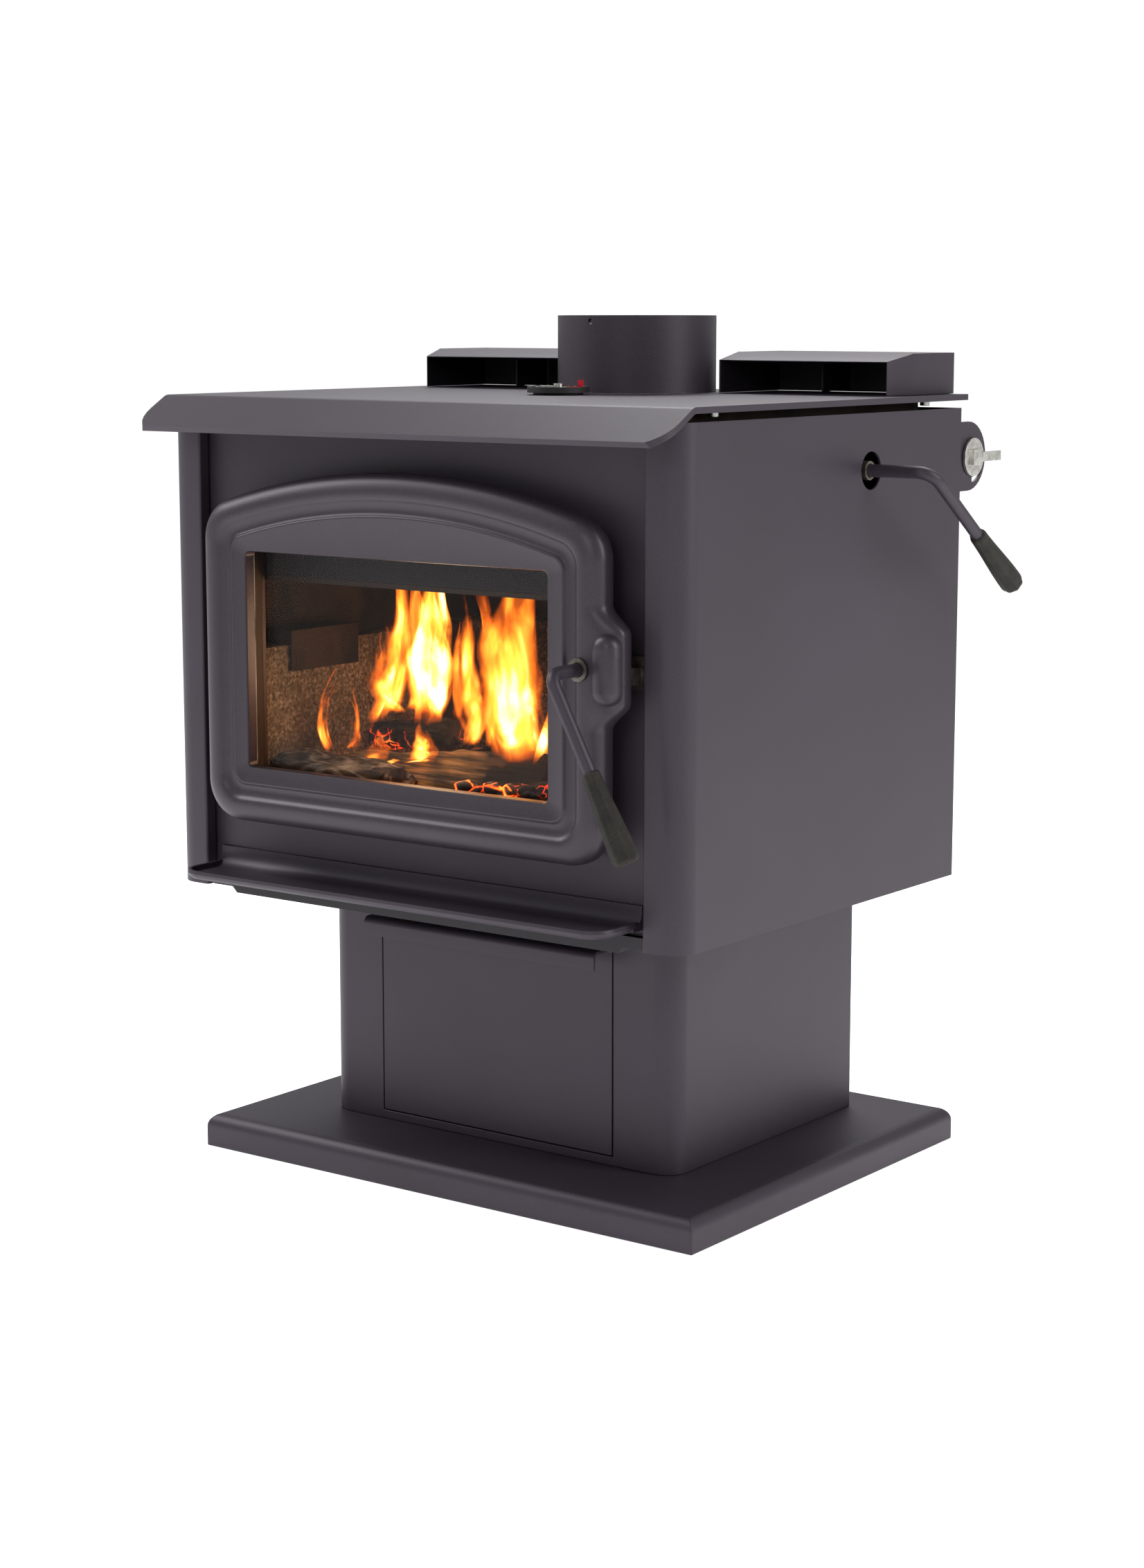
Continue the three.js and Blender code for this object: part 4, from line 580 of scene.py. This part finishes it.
def casting_rings(crown, cove):
    """The door's section as (outline, inset, y): back, rounded edge, crease, cove, bead, field, window, rebate."""
    face, back = DOOR["face"], DOOR["back"]
    rings = [(DOOR, 1.2, back), (DOOR, 0.3, back - 0.6), (DOOR, 0, back - 2)]
    steps = 14
    depth = 15
    for i in range(steps + 1):
        a = math.pi / 2 * i / steps
        rings.append((DOOR, crown * (1 - math.cos(a)), face + depth * (1 - math.sin(a))))
    rings += [(DOOR, CREASE + 2, face + 0.3), (DOOR, CREASE + 4, face + 1.0), (DOOR, CREASE + 5.2, face + 1.8)]
    for i in range(1, 10):
        t = i / 10
        rings.append((DOOR, CREASE + 5.2 + 14 * t, face + 1.8 + (cove - 1.8) * math.sin(math.pi * (0.08 + 0.62 * t))))
    rings += [(DOOR, 39.6, face + 4.4), (DOOR, 40.4, face + 2.9), (DOOR, 41.4, face + 2.2), (DOOR, 42.8, face + 2.2),
              (DOOR, 44, face + 2.9)]
    rings += [(WINDOW, -2.2, face + 3.0), (WINDOW, -0.9, face + 3.3), (WINDOW, -0.2, face + 4.2), (WINDOW, 0, face + 5.6),
              (WINDOW, 0, GLASS_REBATE_Y), (WINDOW, -12.3, GLASS_REBATE_Y), (WINDOW, -12.3, back),
              (WINDOW, -17.4, back), (WINDOW, -18.4, back - 4.6), (WINDOW, -27, back - 4.6), (WINDOW, -28, back)]
    return rings


def door_casting():
    crown = sizes().door_crown / MM
    cove = sizes().door_cove / MM
    vertices = []
    rings = casting_rings(crown, cove)
    for shape, inset, y in rings:
        for x, z in outline(shape, inset):
            if shape is DOOR and x > 0.7 * DOOR["half"]:
                x += BOSS_REACH * boss(z) * max(0, 1 - inset / CREASE)
            vertices.append(Vector((x, y, z)) * MM)
    faces = skin(len(rings), 4 * CORNER_STEPS + 2 * SIDE_STEPS + 2 * END_STEPS, loop_rings=True)
    return vertices, faces


def latch_boss():
    """The upright pill of metal that carries the latch's shaft housing at the door's edge."""
    steps = 32
    half_length, radius = 19, 14.5
    centre_x, centre_z, root_y = 257, 561.5, -304
    section = [(0, 0), (0, 5), (0.4, 8), (1.5, 11), (3.4, 13.6), (6, 15.6), (9, 16.8), (12, 17.3), (13.8, 17.4)]
    points = []
    for inset, rise in section:
        for i in range(steps):
            a = 2 * math.pi * i / steps
            lift = half_length if math.sin(a) > 0 else -half_length
            r = radius - inset
            points.append(Vector((
                centre_x + r * math.cos(a), root_y - rise, centre_z + lift + r * math.sin(a))) * MM)
    return points, capped(len(section), steps)


def hinge_lugs():
    parts = []
    for z in (433.3, 630.3):
        base = Vector((-257, -279, z)) * MM
        profile = [(0, 5.3), (0, 7.4), (0.6, 8), (17.4, 8), (18, 7.4), (18, 5.3)]
        parts.append(turned(base, Vector((0, 0, 1)), [(a * MM, r * MM) for a, r in profile], 28))
        parts.append(block((-0.256, -0.2885, (z + 0.6) * MM), (-0.228, -0.2765, (z + 17.4) * MM)))
    return parts


def rope_run(radius):
    """The seal: a plump rope round the window's back, laid in the door's groove."""
    path = outline(WINDOW, -22.6)
    sides = 12
    vertices = []
    count = len(path)
    for i, (x, z) in enumerate(path):
        ahead = Vector((path[(i + 1) % count][0] - path[i - 1][0], 0, path[(i + 1) % count][1] - path[i - 1][1]))
        out = Vector((ahead.z, 0, -ahead.x)).normalized()
        swell = 1 + 0.04 * math.sin(i * 2.1)
        for k in range(sides):
            a = 2 * math.pi * k / sides
            vertices.append((Vector((x, -287.4, z)) + out * (radius * swell * math.cos(a))
                             + Vector((0, 0.92 * radius * swell * math.sin(a), 0))) * MM)
    return vertices, skin(count, sides, loop_rings=True)


# ---- grips -------------------------------------------------------------------------------------------------

def moulded_grip(start, stop, thin, fat):
    """A moulded grip that swells from its collar to a blunt end, softly faceted along its length."""
    axis = (stop - start)
    span = axis.length
    axis.normalize()
    across = axis.orthogonal().normalized()
    up = axis.cross(across)
    section = [(0, 0.72), (0.004, 0.86), (0.02, 0.97), (0.045, 1.0)]
    section += [(0.045 + 0.9 * i / 22, 1.0) for i in range(1, 23)]
    section += [(0.975, 0.96), (0.992, 0.86), (1.0, 0.68)]
    sides = 48
    points = []
    for t, squeeze in section:
        radius = (thin + (fat - thin) * smooth_step(t * 1.1)) * squeeze
        points += ring(start + axis * (span * t), across, up, radius, sides, lambda a: 1 + 0.035 * math.cos(8 * a))
    return points, capped(len(section), sides)


# ---- fire --------------------------------------------------------------------------------------------------

def log(start, stop, radius, seed, squash=1.0, facets=None, roughness=0.16):
    """A log with an uneven skin; facets, as angles in degrees, are the faces left by splitting."""
    axis = (stop - start)
    span = axis.length
    axis.normalize()
    across = Vector((0, 0, 1)).cross(axis).normalized()
    up = axis.cross(across)
    sides, steps = 56, 44
    points = []
    for k in range(steps + 1):
        t = k / steps
        taper = 1 - 0.1 * abs(2 * t - 1) ** 6
        for i in range(sides):
            a = 2 * math.pi * i / sides
            r = radius
            for facet in facets or ():
                swing = math.cos(a - math.radians(facet))
                if swing > 0.28:
                    r = min(r, 0.28 * radius / swing)
            spot = Vector((t * span * 14, math.cos(a) * 2.2, math.sin(a) * 2.2 + seed))
            rough = noise.noise(spot) + 0.5 * noise.noise(spot * 2.7) + 0.3 * noise.noise(spot * 6.1)
            r *= taper * (1 + roughness * rough)
            fray = 6 * MM * noise.noise(Vector((a * 2, seed, 3 * t))) * (1 if k in (0, steps) else 0)
            out = across * (r * math.cos(a)) + up * (r * squash * math.sin(a))
            points.append(start + axis * (span * t + fray) + out)
    for end, base in ((start, 0), (stop, steps * sides)):
        inner = [end + (points[base + i] - end) * 0.45 for i in range(sides)]
        points += inner
    faces = skin(steps + 1, sides)
    first, last = (steps + 1) * sides, (steps + 2) * sides
    for i in range(sides):
        j = (i + 1) % sides
        faces.append((i, first + i, first + j, j))
        faces.append((steps * sides + i, steps * sides + j, last + j, last + i))
    faces += [tuple(range(first, first + sides)), tuple(reversed(range(last, last + sides)))]
    return points, faces


def coal(middle, size, maker):
    """A lump of charcoal: a rough ball squeezed three ways."""
    rows, sides = 7, 10
    squeeze = Vector((maker.uniform(0.8, 1.5), maker.uniform(0.7, 1.1), maker.uniform(0.55, 0.9))) * size
    spin = Matrix.Rotation(maker.uniform(0, 6.28), 3, "Z") @ Matrix.Rotation(maker.uniform(-0.6, 0.6), 3, "X")
    shift = maker.uniform(0, 50)
    points = []
    for k in range(rows):
        pitch = math.pi * (k + 0.5) / rows
        for i in range(sides):
            a = 2 * math.pi * i / sides
            ball = Vector((math.sin(pitch) * math.cos(a), math.sin(pitch) * math.sin(a), math.cos(pitch)))
            lump = 1 + 0.35 * noise.noise(ball * 1.9 + Vector((shift, 0, 0)))
            point = Vector(b * s * lump for b, s in zip(ball, squeeze))
            points.append(middle + spin @ point)
    return points, capped(rows, sides)


def ember_height(x, y):
    """The bed of ash and embers, heaped towards its middle."""
    heap = math.exp(-((x + 0.04) / 0.2) ** 2 - ((y + 0.13) / 0.13) ** 2)
    return 0.346 + 0.034 * heap + 0.006 * noise.noise(Vector((x * 30, y * 30, 2)))


def tongue(base, top, bow, width, heat, seed, yaw):
    """One sheet of a flame, from base to top, bowed sideways; heat falls off at its edges and towards its tip."""
    steps, across = 34, 10
    facing = Vector((math.cos(yaw), math.sin(yaw), 0))
    points, heats = [], []
    for k in range(steps + 1):
        t = k / steps
        middle = base.lerp(top, t) + facing * (bow * math.sin(math.pi * t))
        middle += facing * (0.16 * width * noise.noise(Vector((seed, 3.2 * t, 0))))
        spread = width * (0.35 + 0.65 * math.sin(math.pi * min(1, 0.12 + t * 0.62))) * (1 - t ** 2.6)
        for i in range(across + 1):
            s = 2 * i / across - 1
            curl = Vector((-facing.y, facing.x, 0)) * (0.35 * width * (1 - s * s) * (1 - 0.6 * t))
            ruffle = 0.2 * spread * noise.noise(Vector((s * 1.5, t * 5, seed)))
            points.append(middle + facing * (0.5 * spread * s + ruffle) + curl)
            edge = max(0, 1 - abs(s) ** 1.7)
            rise = smooth_step(t / 0.16)
            fade = 1 - 0.7 * t ** 1.4
            heats.append(heat * edge * rise * fade * (0.8 + 0.5 * noise.noise(Vector((s, t * 6, seed + 9)))))
    faces = []
    for k in range(steps):
        for i in range(across):
            a = k * (across + 1) + i
            faces.append((a, a + 1, a + across + 2, a + across + 1))
    return points, faces, heats


# ---- operators ---------------------------------------------------------------------------------------------

class STOVE_OT_sheet_metal(bpy.types.Operator):
    """Paints the cabinet, the pedestal, the base and the top, and rounds their cut edges"""
    bl_idname = "stove.sheet_metal"
    bl_label = "Sheet metal"

    def execute(self, context):
        paint = metallic_stove_paint()
        edge = sizes().sheet_edge
        dress(["rear_shield"], paint)
        dress(["side_shield_left", "side_shield_right", "pedestal_shell", "pedestal_back_panel", "ash_drawer_front",
               "ash_lip", "thermostat_bracket", "thermostat_housing",
               "hinge_bracket_lower", "hinge_bracket_upper", "fan_hood_left", "fan_hood_right"], paint, edge)
        dress(["stove_top", "base_cover"], paint, sizes().plate_edge, 3)
        dress(["flue_collar", "front_panel"], paint, edge)
        dress(["base_floor_plate", "thermometer_case"], matte_black_paint(), edge)
        # The under shield takes the darker paint as painted shade beneath the cabinet.
        dress(["under_shield"], soot_and_shade_paint(), edge)
        return {"FINISHED"}


class STOVE_OT_door(bpy.types.Operator):
    """Casts the arched door with its boss and hinge lugs, and lays its rope"""
    bl_idname = "stove.door"
    bl_label = "Cast door"

    def execute(self, context):
        vertices, faces = joined([door_casting(), latch_boss(), *hinge_lugs()])
        casting = mesh_piece("door_casting", vertices, faces, 38)
        place(casting, "door", satin_cast_iron_paint(), ["door_frame"])
        rope = mesh_piece("door_rope", *rope_run(sizes().rope / MM / 2))
        place(rope, "door", braided_glass_rope(), ["door_seal"])
        return {"FINISHED"}


class STOVE_OT_window(bpy.types.Operator):
    """Glazes the door and finishes its clips and gasket"""
    bl_idname = "stove.window"
    bl_label = "Window"

    def execute(self, context):
        dress(["door_glass"], smoked_door_glass())
        dress(["glass_gasket"], braided_glass_rope())
        dress(["glass_clip_upper", "glass_clip_lower"], dull_bare_steel(), 0.4 * MM)
        return {"FINISHED"}


class STOVE_OT_handles(bpy.types.Operator):
    """Finishes the latch and the bypass: bent rods, hooks and moulded grips"""
    bl_idname = "stove.handles"
    bl_label = "Handles"

    def execute(self, context):
        steel = dull_bare_steel()
        dress(["latch_hook", "latch_catch", "latch_bushing", "bypass_bushing", "hinge_pin_lower", "hinge_pin_upper"],
              steel, 0.5 * MM)
        dress(["latch_rod", "bypass_rod"], metallic_stove_paint(), 0.4 * MM)
        resin = moulded_phenolic()
        for body, pivot, side, lean, near, far, thin, fat in (
                ("latch", (228, -358, 560.5), (1, 0), 28, 97, 187, 8.7, 12.4),
                ("bypass", (390, 48.5, 730.2), (0, 1), 54.5, 113, 210, 8.5, 11.7)):
            out, down = math.sin(math.radians(lean)), math.cos(math.radians(lean))
            arm = Vector((side[0] * out, side[1] * out, -down))
            ends = [(Vector(pivot) + arm * along) * MM for along in (near, far)]
            grip = mesh_piece(f"{body}_handgrip", *moulded_grip(*ends, thin * MM, fat * MM), 50)
            place(grip, body, resin, [f"{body}_grip"])
        return {"FINISHED"}


class STOVE_OT_dials(bpy.types.Operator):
    """Finishes the thermometer and the thermostat, and marks the thermometer's scale"""
    bl_idname = "stove.dials"
    bl_label = "Thermometer and thermostat"

    def execute(self, context):
        tilt = math.radians(36)
        flagged = masked(nickel_plated_steel(), colours().flag, 0.4, (0, -39.4, 809),
                         (math.cos(tilt), math.sin(tilt), 0), 9)
        dress(["thermometer_needle"], flagged, 0.3 * MM)
        dress(["thermostat_knob"], nickel_plated_steel(), 0.4 * MM)
        dress(["thermostat_coil", "air_flap"], dull_bare_steel())
        ticks = []
        for i in range(25):
            a = math.radians(i * 15)
            long_tick = i % 3 == 0
            inner, outer = (24 if long_tick else 26) * MM, 29 * MM
            away = Vector((math.cos(a), math.sin(a), 0))
            side = Vector((-away.y, away.x, 0)) * (0.55 * MM)
            root = Vector((0, -39.4, 810.1)) * MM
            low = [root + away * inner - side, root + away * outer - side, root + away * outer + side,
                   root + away * inner + side]
            ticks.append((low + [p + Vector((0, 0, 0.35 * MM)) for p in low],
                          BOX_FACES))
        marks = mesh_piece("thermometer_marks", *joined(ticks), 30)
        place(marks, "stove", mottled_metal("printed_grey_mark", "6e6c6a", "565452", 20, 0.6, 0.0))
        return {"FINISHED"}


class STOVE_OT_firebox(bpy.types.Operator):
    """Finishes the inside of the firebox: bricks, plates, combustor and the heat-browned door seat"""
    bl_idname = "stove.firebox"
    bl_label = "Firebox"

    def execute(self, context):
        bricks = [name for name in NODES if "brick" in name and "clip" not in name]
        dress(bricks, refractory_brick(), 1.6 * MM, 2)
        dress(["firebox_shell", "smoke_baffle", "flame_shield", "brick_clip_left", "brick_clip_right", "bypass_plate",
               "ash_plug"], fire_darkened_plate(), 0.6 * MM)
        dress(["door_seat_ring"], heat_browned_paint(), 0.6 * MM)
        dress(["air_wash_manifold"], soot_and_shade_paint(), 0.8 * MM)
        dress(["combustor"], honeycomb_ceramic())
        lip = mesh_piece("air_wash_lip", *block((-0.262, -0.2575, 0.6155), (0.262, -0.2535, 0.6207)), 30)
        place(lip, "stove", heat_browned_paint())
        return {"FINISHED"}


class STOVE_OT_drawer(bpy.types.Operator):
    """Finishes the ash drawer's pan and rails"""
    bl_idname = "stove.drawer"
    bl_label = "Ash drawer"

    def execute(self, context):
        zinc = galvanised_sheet()
        dress(["ash_drawer_pan"], zinc, 0.4 * MM)
        dress(["drawer_rail_left", "drawer_rail_right"], dull_bare_steel(), 0.4 * MM)
        return {"FINISHED"}


class STOVE_OT_logs(bpy.types.Operator):
    """Lays the logs on the firebox floor"""
    bl_idname = "stove.logs"
    bl_label = "Logs"

    def execute(self, context):
        bark_log = log(Vector((-0.24, -0.192, 0.392)), Vector((-0.085, -0.204, 0.388)), 0.042, 3.0)
        place(mesh_piece("bark_log", *bark_log, 60), "stove", ashy_bark())
        split = log(Vector((-0.19, -0.172, 0.38)), Vector((0.06, -0.14, 0.4)), 0.05, 11.0, 1.0, (150, 262), 0.11)
        place(mesh_piece("split_log", *split, 40), "stove", split_wood())
        charred = log(Vector((-0.226, -0.06, 0.432)), Vector((-0.085, -0.11, 0.452)), 0.017, 19.0, 0.9, None, 0.3)
        place(mesh_piece("charred_log", *charred, 60), "stove", glowing_char("charred_log", 0.83, 4.0))
        rear = log(Vector((-0.21, 0.112, 0.39)), Vector((0.16, 0.114, 0.4)), 0.04, 27.0, 1.0, (90,), 0.16)
        place(mesh_piece("rear_log", *rear, 60), "stove", glowing_char("rear_log_char", 0.9, 3.0))
        standing = log(Vector((-0.21, 0.09, 0.46)), Vector((-0.1, -0.0, 0.545)), 0.022, 35.0, 1.0, (40,), 0.25)
        place(mesh_piece("standing_log", *standing, 60), "stove", glowing_char("standing_log_char", 0.88, 3.0))
        return {"FINISHED"}


class STOVE_OT_embers(bpy.types.Operator):
    """Spreads the bed of ash and live coals"""
    bl_idname = "stove.embers"
    bl_label = "Embers"

    def execute(self, context):
        columns, rows = 60, 48
        x0, x1, y0, y1 = -0.238, 0.238, -0.236, 0.15
        points = []
        for k in range(rows + 1):
            for i in range(columns + 1):
                x, y = x0 + (x1 - x0) * i / columns, y0 + (y1 - y0) * k / rows
                points.append(Vector((x, y, ember_height(x, y))))
        faces = [(a, a + 1, a + columns + 2, a + columns + 1)
                 for k in range(rows) for a in range(k * (columns + 1), k * (columns + 1) + columns)]
        maker = random.Random(7)
        coals = []
        for _ in range(170):
            x, y = maker.gauss(0.02, 0.1), maker.gauss(-0.15, 0.06)
            if not (x0 + 0.02 < x < x1 - 0.02 and y0 + 0.02 < y < y1 - 0.02):
                continue
            size = maker.uniform(0.006, 0.015)
            coals.append(coal(Vector((x, y, ember_height(x, y) + 0.3 * size)), size, maker))
        bed = mesh_piece("ash_bed", points, faces)
        place(bed, "stove", glowing_char("ash_bed", 0.78, 4.0))
        for _ in range(46):
            spot = Vector((maker.uniform(0.02, 0.13), maker.uniform(-0.225, -0.15), maker.uniform(0.375, 0.418)))
            coals.append(coal(spot, maker.uniform(0.007, 0.014), maker))
        lumps = mesh_piece("live_coals", *joined(coals), 60)
        place(lumps, "stove", glowing_char("live_coals", 0.72, 4.0))
        return {"FINISHED"}


# base, top, sideways bow, width in mm, then how hot
FLAMES = [
    ((-72, -160, 462), (-64, -165, 640), 6, 46, 1.0),
    ((-84, -150, 470), (-78, -150, 650), -10, 30, 0.95),
    ((-154, -160, 456), (-108, -165, 640), 16, 30, 0.62),
    ((-140, -150, 470), (-132, -155, 610), 12, 22, 0.5),
    ((46, -150, 430), (52, -165, 650), -16, 60, 0.72),
    ((66, -140, 428), (96, -160, 640), 18, 46, 0.64),
    ((26, -165, 432), (18, -170, 600), -8, 28, 0.6),
    ((-12, -170, 448), (-8, -172, 560), 6, 22, 0.62),
    ((-22, -150, 452), (-30, -150, 600), -9, 20, 0.5),
    ((4, -160, 446), (2, -165, 590), 8, 16, 0.5),
    ((-110, -165, 474), (-128, -165, 560), -12, 26, 0.55),
    ((-100, -160, 476), (-92, -160, 580), 10, 22, 0.6),
    ((-36, -160, 470), (-26, -165, 625), 10, 18, 0.5),
    ((-204, -165, 424), (-192, -170, 520), -16, 12, 0.4),
    ((-184, -160, 430), (-178, -165, 500), 8, 12, 0.35),
    ((-138, -185, 420), (-120, -188, 456), 4, 34, 0.7),
    ((-96, -160, 425), (-84, -165, 470), 4, 34, 0.75),
    ((-30, -90, 440), (-44, -110, 640), 16, 54, 0.6),
    ((120, -90, 420), (112, -110, 600), 12, 44, 0.5),
]


class STOVE_OT_flames(bpy.types.Operator):
    """Lights the flames: curved sheets of burning gas, several to each flame"""
    bl_idname = "stove.flames"
    bl_label = "Flames"

    def execute(self, context):
        maker = random.Random(21)
        parts, heats = [], []
        for base, top, bow, width, heat in FLAMES:
            for k in range(5):
                nudge = Vector((maker.uniform(-0.22, 0.22) * width, maker.uniform(-0.3, 0.3) * width, 0)) * MM
                tip = Vector((maker.uniform(-0.3, 0.3) * width, 0, maker.uniform(-50, 0) * (k > 0))) * MM
                yaw = math.radians(36.5 + maker.uniform(-38, 38))
                vertices, faces, warmth = tongue(
                    Vector(base) * MM + nudge, Vector(top) * MM + nudge + tip, bow * MM,
                    width * MM * maker.uniform(0.6, 1.05), heat * maker.uniform(0.7, 1.0), maker.uniform(0, 90), yaw)
                parts.append((vertices, faces))
                heats += warmth
        piece = mesh_piece("flames", *joined(parts))
        field = piece.data.attributes.new("warmth", "FLOAT", "POINT")
        field.data.foreach_set("value", [max(0, h) for h in heats])
        place(piece, "stove", flame())
        return {"FINISHED"}


class STOVE_OT_fittings(bpy.types.Operator):
    """Adds the blowers' vanes behind the hood mouths, each with a matte black sheet across its back that is painted
    shade for the hood's dark inside, and the spacers under the top
    """
    bl_idname = "stove.fittings"
    bl_label = "Hood vanes and spacers"

    def execute(self, context):
        black = matte_black_paint()
        for side, word in ((-1, "left"), (1, "right")):
            middle = side * 0.2
            vane_and_shade_sheet = [block((middle - 0.0008, 0.15, 0.8035), (middle + 0.0008, 0.205, 0.832))]
            # A matte black sheet across the back of the hood mouth: painted shade for the dark inside of the hood.
            vane_and_shade_sheet.append(block((middle - 0.09, 0.2085, 0.8035), (middle + 0.09, 0.2105, 0.833)))
            vane_and_shade_piece = mesh_piece(f"hood_vane_and_shade_sheet_{word}", *joined(vane_and_shade_sheet), 30)
            place(vane_and_shade_piece, "stove", black)
        spacers = []
        for x in (-0.299, 0.299):
            for y in (-0.2, 0.19):
                spacers.append(turned(Vector((x, y, 0.7898)), Vector((0, 0, 1)), [
                    (0, 0.0045), (0.0004, 0.005), (0.0046, 0.005), (0.005, 0.0045)], 20))
        place(mesh_piece("top_spacers", *joined(spacers), 30), "stove", nickel_plated_steel())
        return {"FINISHED"}


class STOVE_OT_stage(bpy.types.Operator):
    """Sets the floor, the studio lights, the glow of the fire and the camera"""
    bl_idname = "stove.stage"
    bl_label = "Studio"

    def execute(self, context):
        self.floor()
        self.sky()
        for name, at, aim, size, power, colour in (
                ("key_left", (-2.6, -1.2, 2.9), (0, 0, 0.6), (1.4, 2.4), 85, (1, 1, 1)),
                ("strip_right", (2.6, 0.4, 1.9), (0, 0, 0.6), (0.7, 2.0), 40, (1, 0.99, 0.97)),
                ("front_fill", (0.9, -3.4, 2.2), (0, 0, 0.5), (1.2, 1.2), 16, (1, 1, 1)),
                ("top_back", (-0.7, 1.6, 2.8), (0, 0, 0.7), (2.0, 1.2), 60, (1, 1, 1))):
            self.lamp(name, "AREA", at, aim, size, power, colour)
        self.lamp("fire_glow", "POINT", (-0.07, -0.17, 0.54), None, 0.05, 0.9, (1, 0.72, 0.44))
        self.lamp("ember_glow", "POINT", (0.02, -0.1, 0.42), None, 0.06, 0.35, (1, 0.4, 0.12))
        self.camera()
        scene = bpy.context.scene
        scene.cycles.transparent_max_bounces = 32
        scene.view_settings.view_transform = "Standard"
        return {"FINISHED"}

    def floor(self):
        """A wide pale floor."""
        reach = 14
        points = [(-reach, -reach, 0), (reach, -reach, 0), (reach, reach, 0), (-reach, reach, 0)]
        faces = [(0, 1, 2, 3)]
        paper_floor = mesh_piece("studio_floor", points, faces)
        material = bpy.data.materials.new("white_studio_paper")
        material.use_nodes = True
        shader = next(n for n in material.node_tree.nodes if n.type == "BSDF_PRINCIPLED")
        set_sockets(shader, Base_Color=(0.95, 0.95, 0.95, 1), Roughness=0.9, Emission_Color=(1, 1, 1, 1),
                    Emission_Strength=0.62)
        paper_floor.data.materials.append(material)

    def sky(self):
        world = bpy.data.worlds.new("soft_white_room")
        world.use_nodes = True
        tree = world.node_tree
        background = next(n for n in tree.nodes if n.type == "BACKGROUND")
        seen = add_node(tree, "ShaderNodeLightPath").outputs["Is Camera Ray"]
        bright = add_node(tree, "ShaderNodeMapRange", {"Value": seen, "To Min": 0.42, "To Max": 1.0})
        tree.links.new(bright.outputs["Result"], background.inputs["Strength"])
        background.inputs["Color"].default_value = (1, 1, 1, 1)
        bpy.context.scene.world = world

    def lamp(self, name, kind, at, aim, size, power, colour):
        light = bpy.data.lights.new(name, kind)
        light.energy = power
        light.color = colour
        if kind == "AREA":
            light.shape = "RECTANGLE"
            light.size, light.size_y = size
        else:
            light.shadow_soft_size = size
        lamp = bpy.data.objects.new(name, light)
        lamp.location = at
        if aim:
            lamp.rotation_euler = (Vector(aim) - Vector(at)).to_track_quat("-Z", "Y").to_euler()
        bpy.context.scene.collection.objects.link(lamp)

    def camera(self):
        lens = bpy.data.cameras.new("camera")
        lens.lens = 67.54
        lens.sensor_width = 36
        lens.clip_end = 60
        camera = bpy.data.objects.new("camera", lens)
        camera.location = (1.82444, -2.47606, 0.89051)
        camera.rotation_euler = (math.radians(90 - 9.22), 0, math.radians(36.56))
        bpy.context.scene.collection.objects.link(camera)
        bpy.context.scene.camera = camera


class VIEW3D_PT_stove(bpy.types.Panel):
    """Sizes, colours and steps of the stove"""
    bl_label = "Wood Burning Stove"
    bl_space_type = "VIEW_3D"
    bl_region_type = "UI"
    bl_category = "Stove"

    def draw(self, context):
        for settings in (context.scene.stove_sizes, context.scene.stove_colours):
            for name in settings.__annotations__:
                self.layout.prop(settings, name)
        for step in STEPS:
            self.layout.operator(step.bl_idname)


STEPS = (
    STOVE_OT_sheet_metal, STOVE_OT_door, STOVE_OT_window, STOVE_OT_handles, STOVE_OT_dials, STOVE_OT_firebox,
    STOVE_OT_drawer, STOVE_OT_logs, STOVE_OT_embers, STOVE_OT_flames, STOVE_OT_fittings, STOVE_OT_stage)
CLASSES = (StoveColours, StoveSizes, *STEPS, VIEW3D_PT_stove)


def register():
    for cls in CLASSES:
        bpy.utils.register_class(cls)
    bpy.types.Scene.stove_colours = bpy.props.PointerProperty(type=StoveColours)
    bpy.types.Scene.stove_sizes = bpy.props.PointerProperty(type=StoveSizes)


def unregister():
    del bpy.types.Scene.stove_sizes
    del bpy.types.Scene.stove_colours
    for cls in reversed(CLASSES):
        bpy.utils.unregister_class(cls)


def main():
    register()
    for step in STEPS:
        family, name = step.bl_idname.split(".")
        getattr(getattr(bpy.ops, family), name)()


if __name__ == "__main__":
    main()
